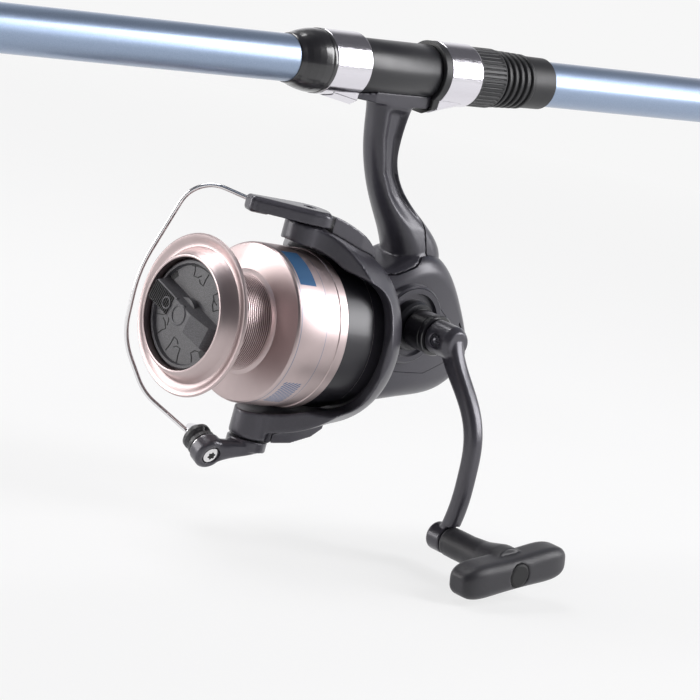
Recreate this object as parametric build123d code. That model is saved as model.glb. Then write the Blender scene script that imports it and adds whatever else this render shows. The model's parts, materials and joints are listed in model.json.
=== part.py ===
from build123d import *
import math
import os

# Fishing rod and spinning reel, in millimetres.
# The frame lies on the rod: X towards the tip, Y to the crank side, Z up, with the origin on the rod's
# axis at the reel seat. The reel hangs below the rod and has its own frame, whose X is the spool's axis.

# ---- driving sizes: rod ----
blank_radius = 10.75
blank_taper = 0.0009
butt_rear = -430.0
butt_front = 450.0
blank_wall = 1.1
section_count = 4
section_outer = [8.95, 7.4, 5.9, 4.45]
section_drop = [0.3, 0.4, 0.4, 2.6]
section_bore = [7.75, 6.25, 4.8, 0.0]
section_bore_taper = 0.2
section_stick_out = 25.0
section_rear_gap = 4.0
tip_gap = 2.0
guide_bore = [15.0, 11.0, 8.0, 5.0]
guide_ring_wall = 1.6
guide_frame_wall = 1.4
guide_frame_thick = 2.0
guide_drop = 7.0
guide_sleeve_wall = 0.9
guide_sleeve_length = 20.0
butt_cap_length = 46.0
butt_cap_wall = 3.4
butt_cap_plug = 8.0
wrap_length = 26.0
wrap_thick = 0.7
glue_gap = 0.02

# ---- driving sizes: reel seat ----
seat_front = 75.7
cone_length = 16.7
seat_radius = 14.9
hood_front = 57.0
hood_rear = 36.0
hood_wall = 1.4
barrel_radius = 12.8
thread_radius = 12.0
thread_rear = -73.0
liner_front = -11.0
liner_rear = -15.0
moving_hood_rear = -35.0
flute_rear = -52.0
rib_rear = -72.5
nut_rear = -87.5
nut_flutes = 26
nut_ribs = 5
running_clearance = 0.05
hood_travel = 12.0

# ---- driving sizes: reel foot and stem ----
axis_drop = 128.6
axis_tilt = 4.38
foot_front = 41.0
foot_rear = -31.0
foot_width = 15.0
foot_thick = 3.4
foot_seat_gap = 0.04
pocket_gap = 0.3

# ---- driving sizes: gearbox ----
crank_x = -16.0
crank_z = 13.0
body_front = 2.5
boss_radius = 19.0
boss_face = 22.0
side_split = 13.0
seam_gap = 0.25
neck_radius = 14.6
neck_front = 14.0
pinion_radius = 6.0
pinion_teeth_radius = 5.6
shaft_radius = 3.5
drive_shaft_radius = 5.0
drive_gear_radius = 15.5
drive_gear_teeth = 49
pinion_tooth_count = 10
slow_gear_x = -42.0
slow_gear_z = 0.0
slow_gear_teeth = 31
idler_teeth = 27
gear_module = 1.0
slow_pin_offset = 8.0

slow_gear_low = -9.2
slow_gear_width = 3.0
slow_axle_radius = 3.0
slow_axle_length = 4.6
slow_pin_gap = 0.4
face_gear_gap = 0.2
face_tooth_height = 1.2
face_gear_thick = 3.0
drive_hub_radius = 7.0
bearing_low = -16.4
pinion_journal_rear = 0.6
pinion_teeth_length = 26.0
rotor_nut_rear = 30.0
rotor_nut_thick = 5.0
slider_x = -41.0
slider_half = 4.0
clutch_rear = 3.0
clutch_radius = 13.0
bearing_wide = 5.0
guide_rod_offset = 9.0
guide_rod_radius = 2.0
rod_rear = -64.0
rod_front = -25.0
stroke_back = 16.0
stroke_ahead = 4.0

# ---- driving sizes: rotor ----
cup_radius = 35.6
cup_wall = 2.2
cup_front = 50.0
cup_rear = 18.5
pivot_x = 47.0
arm_tip_radius = 9.6
arm_tip_low = 41.0
arm_tip_high = 50.2
lower_tip_extra = 3.6
band_rear = 4.0
band_front = 15.0
arms_end = 60.0

# ---- driving sizes: spool ----
skirt_radius = 37.3
skirt_wall = 1.2
skirt_rear = 37.0
flange_rear = 68.0
arbor_radius = 22.5
lip_x = 99.7
collar_front = 106.5
knob_bore = 25.8
drag_bore = 19.0
spool_bore_gap = 0.05

spool_rear = 64.0
drag_floor = 81.0
knob_floor = 97.6
knob_front = 108.8
knob_sleeve = 8.5
knob_bar_angle = -17.0
arbor_grooves = 8
drag_discs = 3
felt_thick = 1.6
plate_thick = 1.2
shaft_front = 104.0

# ---- driving sizes: bail ----
pivot_pin_radius = 3.0
pin_depth = 7.0
pivot_gap = 0.4
lever_thick = 6.8
lever_radius = 11.0
lever_tail = (-4.0, 5.0)
lever_tail_radius = 6.0
socket = (71.0, -8.0)
axle_radius = 2.5
wire_corners = [(14.3, 53.2), (47.0, 57.6), (61.8, 8.0), (60.8, -24.0), (45.0, -46.5), (21.5, -57.6)]
wire_bends = [17.0, 70.0, 36.0, 26.0]
wire_plane_x = 57.0
bail_angle = 50.0
wire_radius = 1.15
roller_tilt = 21.0
roller_centre = (67.0, -9.5, -60.2)
roller_radius = 7.0
roller_length = 7.4

# ---- driving sizes: crank and knob ----
crank_lean = 7.0
crank_length = 89.75
hub_inner = 39.5
hub_outer = 54.5
hub_radius = 8.2
arm_thick = 7.8
knob_centre = 112.7
knob_half_length = 32.0
knob_radius = 8.4
knob_tilt = 10.2
arm_end_low = 62.2
arm_end_high = 71.7
post_radius = 3.0
knob_neck_radius = 7.1
post_end = 106.2
hub_screw_y = 46.0
knob_cap_radius = 5.6

os.makedirs("parts", exist_ok=True)
nodes = {}

reel_place = Location((0, 0, -axis_drop), (0, -axis_tilt, 0))
crank_place = reel_place * Location((crank_x, 0, crank_z), (0, crank_lean, 0))


def turned(points):
    """Solid of revolution about X from (along, radius) pairs."""
    outline = [(along, radius) for along, radius in points]
    return revolve(make_face(Polyline(*outline, close=True)), Axis.X)


def tube(start, end, outer, inner=0.0):
    return turned([(start, inner), (end, inner), (end, outer), (start, outer)])


def across(shape):
    """Stands a solid made along X on the Y axis."""
    return Rot(0, 0, 90) * shape


def side_plate(points, low, high):
    """Plate with an outline in the XZ plane, from y = low to y = high."""
    plane = Plane.XZ.offset(-low)
    return extrude(plane * make_face(Polyline(*points, close=True)), amount=low - high)


def around(shape, count, start=0.0):
    return [Rot(start + 360.0 * i / count, 0, 0) * shape for i in range(count)]


def fuse(shapes):
    total = shapes[0]
    for shape in shapes[1:]:
        total = total + shape
    return total


def add(name, shape, place=None):
    nodes[name] = place * shape if place else shape


def blank_radius_at(x):
    return blank_radius - blank_taper * (x - seat_front)


def blank_bore_at(x):
    return blank_radius_at(x) - blank_wall


def blank_bar(start, end):
    """The blank's outside with its glue gap as a solid bar, to bore what is fitted on it."""
    return turned([(start, 0), (end, 0), (end, blank_radius_at(end) + glue_gap),
                   (start, blank_radius_at(start) + glue_gap)])


# ---------------------------------------------------------------- rod

def make_butt():
    add("butt_section", turned([(butt_rear, blank_bore_at(butt_rear)), (butt_front, blank_bore_at(butt_front)),
                                (butt_front, blank_radius_at(butt_front)), (butt_rear, blank_radius_at(butt_rear))]))
    end = butt_front
    start = end - wrap_length
    wrap = wrap_thick + blank_radius_at(start)
    band = turned([(start, 0), (start, wrap - 0.4), (start + 3, wrap), (end - 1.5, wrap), (end, wrap - 0.4), (end, 0)])
    add("front_wrap", band - blank_bar(start - 1, end + 1))
    rear = blank_radius_at(butt_rear)
    outside = rear + butt_cap_wall
    back = butt_rear - 5.0
    front = back + butt_cap_length
    plug_end = butt_rear + butt_cap_plug
    plug_radius = blank_bore_at(plug_end) - glue_gap
    cap = turned([(back, 0), (back, outside - 2.5), (back + 2.5, outside), (front - 14, outside),
                  (front, rear + 0.8), (front, rear), (butt_rear, rear), (butt_rear, plug_radius),
                  (plug_end, plug_radius), (plug_end, 0)])
    add("butt_cap", cap)


def section_span(index):
    """Rear and front end of a nested section when the rod is closed."""
    rear = butt_rear + butt_cap_plug + section_rear_gap
    front = butt_front + section_stick_out * (index + 1)
    return rear, front


def make_section(index):
    rear, front = section_span(index)
    outer, bore = section_outer[index], section_bore[index]
    tip = outer - section_drop[index]
    seat = front - section_stick_out + tip_gap
    outline = [(rear, outer), (seat, tip), (front, tip)]
    if bore:
        solid = turned([(rear, bore + section_bore_taper), (seat, bore), (front, bore)] + outline[::-1])
    else:
        solid = turned([(rear, 0), (front, 0)] + outline[::-1])
    add(f"rod_section_{index + 2}", solid)
    sleeve_end = front
    sleeve_start = front - guide_sleeve_length
    sleeve_outer = tip + guide_sleeve_wall
    ring_outer = guide_bore[index] + guide_ring_wall
    frame_outer = ring_outer + guide_frame_wall
    centre = -(sleeve_outer + guide_drop + ring_outer)
    middle = (sleeve_start + sleeve_end) / 2
    plane = Plane.YZ.offset(middle - guide_frame_thick / 2)
    top = Circle(sleeve_outer)
    bottom = Pos(0, centre) * Circle(frame_outer)
    blade = make_hull(top.edges() + bottom.edges())
    window_half = sleeve_outer * 0.55
    window = Pos(0, centre + frame_outer + guide_drop * 0.32) * Circle(min(window_half, guide_drop * 0.42))
    blade = blade - Pos(0, centre) * Circle(ring_outer) - window
    frame = extrude(plane * blade, amount=guide_frame_thick)
    brace_low = centre + frame_outer - 1.0
    brace = side_plate([(sleeve_start + 1, -tip - 0.3), (middle, -tip - 0.3), (middle, brace_low)], -1.2, 1.2)
    frame = frame + brace + tube(sleeve_start, sleeve_end, sleeve_outer, tip)
    frame = frame - tube(sleeve_start - 1, sleeve_end + 1, tip)
    frame = frame - Pos(0, 0, centre) * tube(sleeve_start, sleeve_end, ring_outer)
    add(f"guide_frame_{index + 2}", frame)
    half = guide_frame_thick * 0.75
    ring = turned([(middle - half * 0.4, guide_bore[index]), (middle + half * 0.4, guide_bore[index]),
                   (middle + half, guide_bore[index] + 0.5), (middle + half, ring_outer),
                   (middle - half, ring_outer), (middle - half, guide_bore[index] + 0.5)])
    add(f"guide_ring_{index + 2}", Pos(0, 0, centre) * ring)


# ---------------------------------------------------------------- reel seat

def hood_pocket(mouth, toe, depth, wall):
    """Pocket under a hood: a tapered keel that covers the end of the reel foot."""
    keel = seat_radius + depth
    profiles = []
    for x, drop in ((mouth, keel), (toe, seat_radius - 0.5)):
        half = foot_width / 2 + wall + 1.2
        tip = [(-half, -seat_radius * 0.55), (-half + 1.0, -drop + 3.0), (-3.0, -drop), (3.0, -drop),
               (half - 1.0, -drop + 3.0), (half, -seat_radius * 0.55)]
        profiles.append(Plane.YZ.offset(x) * make_face(Polyline(*tip, close=True)))
    return loft(profiles, ruled=True)


def foot_outline(grow=0.0):
    """Side outline of the foot's plate, from tip to tip."""
    top = -(barrel_radius - 3.4)
    low = -(barrel_radius + foot_thick) - grow
    ends = -(barrel_radius + 1.3) - grow
    return [(foot_rear - grow, top), (foot_front + grow, top), (foot_front + grow, ends),
            (foot_front - 26, low), (foot_rear + 22, low), (foot_rear - grow, ends)]


def foot_plan(grow=0.0):
    half = foot_width / 2 + grow
    tip = half * 0.55
    return [(foot_rear - grow, -tip), (foot_rear + 14, -half), (foot_front - 18, -half), (foot_front + grow, -tip),
            (foot_front + grow, tip), (foot_front - 18, half), (foot_rear + 14, half), (foot_rear - grow, tip)]


def foot_block(grow=0.0):
    plate = side_plate(foot_outline(grow), -20, 20)
    plan = extrude(Plane.XY.offset(-40) * make_face(Polyline(*foot_plan(grow), close=True)), amount=60)
    return plate & plan


def make_seat():
    cone_rear = seat_front - cone_length
    lead = blank_radius + 0.5
    cone = turned([(seat_front, 0), (seat_front, lead), (seat_front - 3, lead + 1.0),
                   (seat_front - 9, seat_radius - 1.1), (cone_rear + 1.5, seat_radius - 0.3),
                   (cone_rear, seat_radius - 0.3), (cone_rear, seat_radius), (hood_front, seat_radius), (hood_front, 0)])
    blank = blank_bar(nut_rear, seat_front + 1)
    add("front_cone", cone - blank)
    barrel = turned([(hood_front, 0), (hood_front, barrel_radius), (liner_front + 0.4, barrel_radius),
                     (liner_front + 0.4, thread_radius), (thread_rear, thread_radius), (thread_rear, 0)])
    add("seat_barrel", barrel - blank)
    ring = tube(hood_rear, hood_front, seat_radius, barrel_radius)
    pocket = hood_pocket(hood_rear - 3, hood_front - 1, 3.4, hood_wall)
    toe_cut = side_plate([(hood_rear - 10, 20), (hood_rear, 20), (hood_rear, -seat_radius + 1),
                          (hood_rear - 3, -seat_radius - 6), (hood_rear - 10, -seat_radius - 6)], -20, 20)
    hood = (ring + pocket) - toe_cut - tube(hood_rear - 5, hood_front, barrel_radius) - foot_block(pocket_gap)
    add("fixed_hood", hood)
    clear = thread_radius + running_clearance
    ring = tube(moving_hood_rear, liner_rear, seat_radius, clear)
    pocket = hood_pocket(liner_rear, moving_hood_rear + 2, 4.0, hood_wall)
    moving = (ring + pocket) - tube(moving_hood_rear, liner_rear + 5, clear) - foot_block(pocket_gap)
    moving = moving - side_plate([(liner_rear, 30), (0, 30), (0, -30), (liner_rear, -30)], -25, 25)
    add("moving_hood", moving)
    liner = tube(liner_rear, liner_front, seat_radius - 0.1, clear)
    keel = hood_pocket(liner_front, moving_hood_rear + 2, 4.4, hood_wall)
    keel = keel & side_plate([(liner_rear, 30), (liner_front, 30), (liner_front, -30), (liner_rear, -30)], -25, 25)
    add("hood_liner", (liner + keel) - tube(liner_rear, liner_front, clear) - foot_block(pocket_gap))
    make_lock_nut(clear)


def make_lock_nut(clear):
    start = moving_hood_rear - 0.3
    flute_radius = seat_radius - 0.9
    tail = blank_radius_at(nut_rear) + 1.5
    points = [(start, clear), (start, flute_radius), (flute_rear, flute_radius)]
    pitch = (flute_rear - rib_rear) / nut_ribs
    for i in range(nut_ribs):
        crest = flute_radius - 0.5 - (flute_radius - tail - 0.9) * i / nut_ribs
        x = flute_rear - pitch * i
        points += [(x - 0.2 * pitch, crest - 1.0), (x - 0.35 * pitch, crest - 1.0),
                   (x - 0.5 * pitch, crest), (x - pitch, crest - 0.25)]
    tail_bore = blank_radius_at(nut_rear - hood_travel) + 0.3
    points += [(rib_rear, tail), (nut_rear + 0.6, tail - 0.1), (nut_rear, tail - 0.6), (nut_rear, tail_bore),
               (thread_rear - 1.2, tail_bore), (thread_rear - 1.2, clear)]
    nut = turned(points)
    groove_x = (start + flute_rear) / 2
    groove = Pos(groove_x, 0, flute_radius + 0.15) * Box(abs(flute_rear - start) - 3.0, 1.3, 1.5)
    nut = nut - around(groove, nut_flutes)
    add("lock_nut", nut)


# ---------------------------------------------------------------- reel body

def stem_section(height, rear, front, half):
    width = front - rear
    radius = min(width, 2 * half) * 0.46
    plane = Plane.XY.offset(height)
    return plane * Pos((front + rear) / 2, 0) * RectangleRounded(width, 2 * half, radius)


def box_section(x, low, high, half, radius):
    plane = Plane.YZ.offset(x)
    return plane * Pos(0, (low + high) / 2) * RectangleRounded(2 * half, high - low, radius)


def body_shell():
    """Outer form of stem, gearbox and boss in the reel's frame."""
    stem = loft([stem_section(z, rear, front, half) for z, rear, front, half in
                 ((42.0, -37.5, -9.0, 12.5), (54.0, -30.5, -1.0, 11.2), (63.0, -17.5, 6.5, 9.6),
                  (71.0, -6.5, 12.4, 8.6), (80.0, 1.2, 17.7, 8.0), (96.0, 5.2, 23.8, 7.6),
                  (108.0, 4.4, 26.6, 7.5), (115.5, 2.0, 30.0, 7.4))])
    box = loft([box_section(*row) for row in
                ((body_front, -28.5, 35.5, 17.0, 9.0), (-14.0, -27.5, 44.0, 18.5, 9.5),
                 (-32.0, -24.5, 45.5, 17.5, 10.0), (-50.0, -21.5, 32.0, 14.5, 9.5),
                 (-63.0, -15.5, 17.0, 11.0, 8.0), (-71.5, -8.0, 4.5, 7.0, 5.5))])
    neck = tube(body_front - 1, neck_front, neck_radius)
    boss = Pos(crank_x, 0, crank_z) * across(turned(
        [(10, 0), (10, boss_radius + 2.5), (boss_face - 1.0, boss_radius), (boss_face, boss_radius - 1.0),
         (boss_face, 15.5), (boss_face - 2.0, 15.0), (boss_face - 2.0, 0)]))
    far_boss = Pos(crank_x, 0, crank_z) * across(turned(
        [(-10, 0), (-10, 15.0), (-20.5, 12.5), (-21.5, 11.5), (-21.5, 0)]))
    front_cut = Pos(body_front + 50, 0, 0) * Box(100, 120, 120)
    return stem, (box + boss + far_boss) - front_cut + neck


def gear_room():
    """Hollow inside the gearbox: gears, pinion, slider and shaft."""
    gears = tube(5.2, 11.0, drive_gear_radius + 1.2) + tube(-5.4, 5.2, drive_hub_radius + 1.2)
    gears = gears + tube(slow_gear_low - 1.4, -5.4, idler_teeth * gear_module / 2 + 1.9)
    gears = Pos(crank_x, 0, crank_z) * across(gears)
    slow = Pos(slow_gear_x, 0, slow_gear_z) * across(tube(slow_gear_low - 1.4, -4.0, slow_gear_teeth * gear_module / 2 + 1.9))
    slide_rear = slider_x - slider_half - 0.4 - stroke_back
    slide_front = slider_x + slider_half + 0.4 + stroke_ahead
    slide = Pos((slide_rear + slide_front) / 2, 0, 0) * Box(slide_front - slide_rear, 11.4, 27.0)
    pinion = tube(slide_front - 1.0, 0.0, pinion_radius + 2.0)
    return gears + slow + slide + pinion


def cover_outline(grow=0.0):
    """Side view of the cover that wraps the back and the bottom of the gearbox."""
    return [(-12.0 + grow, 90), (-13.0 + grow, 71.5), (-18.5 + grow, 59.0), (-22.0 + grow, 47.0),
            (-26.0 + grow, 36.0 - grow), (-40.0 + grow, 29.0 - grow), (-60.0 + grow, 12.0 - grow),
            (-60.0 + grow, -4.0 + grow), (-49.0 + grow, -6.8 + grow), (-34.0, -10.6 + grow), (-7.0 + grow, -11.6 + grow),
            (-7.0 + grow, -60), (-110, -60), (-110, 90)]


def cover_wing(grow=0.0):
    """Side view of the part of that cover that reaches forward over the crank side."""
    return [(-90.0, 47.0 + grow), (-21.0, 47.0 + grow), (-14.0 + grow, 39.8 + grow), (-4.0, 34.6 + grow),
            (body_front + grow, 33.0 + grow), (body_front + grow, -60.0), (-90.0, -60.0)]


def side_cover_face(grow=0.0):
    """Side view of the crank-side cover: round about the crank, drawn out to the rear."""
    round_end = Pos(crank_x, crank_z) * Circle(18.2 + grow)
    rear = Pos(-62.0, 3.0) * Circle(3.0 + grow)
    low = Pos(-36.0, -8.0) * Circle(2.5 + grow)
    front = Pos(body_front, -9.0) * Circle(2.5 + grow)
    return make_hull((round_end + rear + low + front).edges())


def side_cover_block(grow, low):
    plane = Plane.XZ.offset(-low)
    return extrude(plane * side_cover_face(grow), amount=low - 40)


def make_body():
    stem, box = body_shell()
    whole = stem + box
    seat = tube(foot_rear - 30, foot_front + 5, barrel_radius + foot_seat_gap)
    room = gear_room()
    whole = whole - room
    axle = Pos(crank_x, 0, crank_z) * across(tube(-16.6, 30.0, drive_shaft_radius + 0.8))
    bearing_seats = Pos(crank_x, 0, crank_z) * across(tube(-16.6, -12.0, 9.5) + tube(11.0, 17.5, 9.5))
    clutch_seat = tube(clutch_rear, neck_front, clutch_radius)
    pinion_hole = tube(-2.0, neck_front, pinion_radius + 1.0)
    rods = fuse([Pos(0, 0, side * guide_rod_offset) * tube(rod_rear, rod_front, guide_rod_radius) for side in (1, -1)])
    slow_hole = across(tube(slow_gear_low - slow_axle_length - 0.4, slow_gear_low, slow_axle_radius + running_clearance))
    slow_hole = Pos(slow_gear_x, 0, slow_gear_z) * slow_hole
    whole = whole - axle - bearing_seats - clutch_seat - pinion_hole - rods - slow_hole
    back = side_plate(cover_outline(), -40, 40) + side_plate(cover_wing(), side_split + seam_gap, 40)
    back_cut = side_plate(cover_outline(seam_gap), -40, 40) + side_plate(cover_wing(seam_gap), side_split, 40)
    side_cut = side_cover_block(0, side_split)
    rear_cover = (whole & back) - side_cut
    side_cover = whole & side_cover_block(-seam_gap, side_split + seam_gap)
    body = whole - back_cut - side_cut
    add("rear_cover", rear_cover, reel_place)
    add("side_cover", side_cover, reel_place)
    nodes["reel_body"] = (reel_place * body) + foot_block() - seat
    bush = across(turned([(boss_face - 2.0, drive_shaft_radius + 0.3), (boss_face - 2.0, 12.4),
                          (boss_face + 1.6, 12.0), (boss_face + 3.0, 11.0),
                          (boss_face + 3.0, drive_shaft_radius + 0.3)]))
    add("crank_bush", bush, reel_place * Pos(crank_x, 0, crank_z))
    bearings = [across(tube(12.7, 17.3, 9.5, drive_shaft_radius + running_clearance)),
                across(tube(-16.6, -12.2, 9.5, drive_shaft_radius + running_clearance))]
    add("drive_bearings", Compound(children=bearings), reel_place * Pos(crank_x, 0, crank_z))
    race = pinion_radius + running_clearance
    add("rotor_bearing", tube(clutch_rear, clutch_rear + bearing_wide, clutch_radius, race), reel_place)
    add("reverse_clutch", tube(clutch_rear + bearing_wide + 0.2, neck_front - 0.3, clutch_radius, race), reel_place)
    rods = [Pos(0, 0, side * guide_rod_offset) * tube(rod_rear, rod_front, guide_rod_radius) for side in (1, -1)]
    add("guide_rods", Compound(children=rods), reel_place)


# ---------------------------------------------------------------- gears and main shaft

def spur_gear(teeth, angle, low, width):
    """Spur gear about Y with one tooth at the given angle in the XZ plane, from y = low upwards."""
    pitch = gear_module * teeth / 2
    root, tip = pitch - 1.2 * gear_module, pitch + 0.75 * gear_module
    foot, crown = 0.9 * gear_module, 0.36 * gear_module
    tooth = make_face(Polyline((root - 0.3, -foot), (tip, -crown), (tip, crown), (root - 0.3, foot), close=True))
    outline = Circle(root) + [Rot(0, 0, angle + 360.0 * i / teeth) * tooth for i in range(teeth)]
    return extrude(Plane.XZ.offset(-low) * outline, amount=-width)


def face_gear():
    """Drive gear: a disc with radial teeth on the face that looks at the pinion."""
    face = pinion_teeth_radius + face_gear_gap + face_tooth_height
    back = face + face_gear_thick
    disc = turned([(face, 0), (face, drive_gear_radius), (back, drive_gear_radius), (back, 8.5),
                   (back + 1.5, 8.0), (back + 1.5, 0)])
    tooth_length = 3.4
    tooth = Pos(face - face_tooth_height / 2, 0, drive_gear_radius - tooth_length / 2)
    teeth = around(tooth * Box(face_tooth_height + 0.02, 0.95, tooth_length), drive_gear_teeth)
    hub = tube(slow_gear_low + slow_gear_width, face, drive_hub_radius)
    return disc + hub + teeth - tube(-20, 20, drive_shaft_radius)


def make_drive_train():
    centre = Pos(crank_x, 0, crank_z)
    add("drive_shaft", across(tube(bearing_low, hub_inner, drive_shaft_radius)), reel_place * centre)
    angle = math.degrees(math.atan2(slow_gear_z - crank_z, slow_gear_x - crank_x))
    idler = spur_gear(idler_teeth, angle, slow_gear_low, slow_gear_width)
    idler = idler - across(tube(-20, 20, drive_shaft_radius))
    add("drive_gear", across(face_gear()) + idler, reel_place * centre)
    slow = spur_gear(slow_gear_teeth, angle + 180.0 + 180.0 / slow_gear_teeth, slow_gear_low, slow_gear_width)
    slow = slow + across(tube(slow_gear_low - slow_axle_length, slow_gear_low + 0.5, slow_axle_radius))
    top = slow_gear_low + slow_gear_width
    slow = slow + Pos(0, 0, slow_pin_offset) * across(tube(top - 0.1, -slider_half - slow_pin_gap, 1.5))
    add("slow_gear", slow, reel_place * Pos(slow_gear_x, 0, slow_gear_z))
    tooth = Pos(0, 0, pinion_teeth_radius - 0.7) * Box(pinion_teeth_length, 1.2, 1.4)
    pinion_rear = pinion_journal_rear - pinion_teeth_length
    teeth = around(Pos((pinion_rear + pinion_journal_rear) / 2, 0, 0) * tooth, pinion_tooth_count)
    pinion = tube(pinion_rear, pinion_journal_rear, pinion_teeth_radius - 0.9)
    pinion = pinion + tube(pinion_journal_rear, rotor_nut_rear + rotor_nut_thick, pinion_radius) + teeth
    add("pinion_gear", pinion - tube(-60, 60, shaft_radius + running_clearance), reel_place)
    nut = extrude(Plane.YZ.offset(rotor_nut_rear) * RegularPolygon(9.0, 6), amount=rotor_nut_thick)
    add("rotor_nut", nut - tube(0, 60, pinion_radius), reel_place)


def make_shaft():
    add("main_shaft", tube(slider_x - 4.0, shaft_front, shaft_radius), reel_place)
    slider = Pos(slider_x, 0, 0) * Box(8.0, 2 * slider_half, 26.0)
    for side in (1, -1):
        slider = slider - Pos(0, 0, side * guide_rod_offset) * tube(-60, 0, guide_rod_radius + running_clearance)
    slot = Pos(slider_x, -slider_half, 0) * Box(3.4, 2.0, 2 * slow_pin_offset + 4.0)
    add("slider", slider - slot - tube(-60, 0, shaft_radius), reel_place)
    seat = turned([(spool_rear - 6.0, shaft_radius), (spool_rear - 6.0, 6.0), (spool_rear - 2.5, 6.0),
                   (spool_rear - 2.5, 9.0), (spool_rear, 9.0), (spool_rear, shaft_radius)])
    add("spool_seat", seat, reel_place)


# ---------------------------------------------------------------- rotor

def frame_outside(inner, grow=0.0):
    """Solid of revolution under the rotor frame's outer curve, down to the given inner half profile."""
    points = [(band_rear, 38.4 + grow), (8.0, 41.0 + grow), (17.0, 43.6 + grow), (34.0, 48.2 + grow),
              (pivot_x, arm_tip_high + grow)]
    curve = Spline(*points)
    rest = Polyline(points[-1], (arms_end, arm_tip_high + grow), *inner, points[0])
    return revolve(make_face(curve + rest), Axis.X)


def arm_tip_end(side):
    """Outer end of an arm's tip: the lower arm (side -1) is a little deeper."""
    return arm_tip_high if side > 0 else arm_tip_high + lower_tip_extra


def rotor_frame():
    """Open frame: a band round the back that runs into two tapered arms."""
    inside = [(arms_end, arm_tip_low), (pivot_x, arm_tip_low), (34.0, 39.6), (17.0, 37.9), (7.0, 36.4), (band_rear, 34.6)]
    wall = frame_outside(inside)
    reach = 95.0
    window = Polyline((band_front, 28.0), (28.0, 32.4), (45.0, 36.6), (reach, 40.5),
                      (reach, -40.5), (45.0, -36.6), (28.0, -32.4), (band_front, -28.0), close=True)
    face = make_face(window)
    face = fillet(face.vertices().group_by(Axis.X)[0], 9.0)
    window_cut = extrude(Plane.XZ * face, amount=60, both=True)
    edge = [(0.0, 46.0), (17.0, 40.5), (27.0, 33.0), (35.0, 22.0), (41.0, 13.6), (pivot_x, arm_tip_radius)]
    mirrored = [(x, -y) for x, y in edge]
    plan = make_face(Spline(*edge) + Line(edge[-1], mirrored[-1]) + Spline(*mirrored) + Line(edge[0], mirrored[0]))
    plan = plan + Pos(pivot_x, 0) * Circle(arm_tip_radius)
    plan_block = extrude(plan, amount=60, both=True)
    frame = (wall - window_cut) & plan_block
    for side in (1, -1):
        high = arm_tip_end(side)
        middle = side * (arm_tip_low + high) / 2
        tip = Cylinder(arm_tip_radius, high - arm_tip_low)
        tip = chamfer(tip.edges().filter_by(GeomType.CIRCLE), 1.2)
        frame = frame + Pos(pivot_x, 0, middle) * tip
    return frame


def make_rotor():
    web_front = band_rear + 5.0
    hub_face = neck_front + 2.5
    inner = cup_radius - cup_wall
    cup = turned([(band_rear + 1, neck_radius + 0.9), (band_rear + 1, 37.0), (web_front, 37.0), (web_front, 33.0),
                  (cup_rear, 33.0), (cup_rear, cup_radius - 0.5), (cup_rear + 0.8, cup_radius),
                  (cup_front, cup_radius), (cup_front, inner), (cup_rear + 3.5, inner),
                  (cup_rear + 3.5, 30.8), (web_front, 30.8), (web_front, neck_radius + 4.0),
                  (hub_face + 3.5, neck_radius + 4.0), (hub_face + 3.5, 10.0), (rotor_nut_rear, 10.0),
                  (rotor_nut_rear, pinion_radius), (hub_face, pinion_radius), (hub_face, neck_radius + 0.9)])
    rotor = rotor_frame() + cup
    for side in (1, -1):
        hole = Cylinder(pivot_pin_radius + running_clearance, pin_depth + 1.0)
        rotor = rotor - Pos(pivot_x, 0, side * (arm_tip_end(side) - (pin_depth - 1.0) / 2)) * hole
    add("rotor", rotor, reel_place)
    make_arm_covers()


def make_arm_covers():
    clear = Pos(pivot_x, 0, 0) * Cylinder(lever_radius + 0.8, 160)
    sweep = Pos(pivot_x, 0, 0) * Cylinder(math.hypot(*lever_tail) + lever_tail_radius + pivot_gap, 160)
    outside = frame_outside([(arms_end, 0.0), (band_rear, 0.0)], glue_gap)
    top = Spline((5.0, 39.5), (10.0, 45.6), (20.0, 51.0), (32.0, 55.0), (44.0, 57.0))
    side = make_face(top + Polyline((44.0, 57.0), (44.0, 30.0), (5.0, 30.0), (5.0, 39.5)))
    ridge = extrude(Plane.XZ * side, amount=11.0, both=True)
    plan = extrude(make_face(Polyline((4, -8.0), (18, -10.0), (44, -8.0), (44, 8.0), (18, 10.0), (4, 8.0),
                                      close=True)), amount=80)
    upper = (ridge & plan) - outside - sweep
    add("spring_cover", upper, reel_place)
    ridge = side_plate([(12.0, -30), (12.0, -44.0), (18.0, -48.5), (30.0, -52.5), (44.0, -53.5), (44.0, -30)],
                       -11.0, 11.0)
    lower = ridge - outside - clear
    add("arm_cover", lower, reel_place)


# ---------------------------------------------------------------- spool and drag

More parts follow.
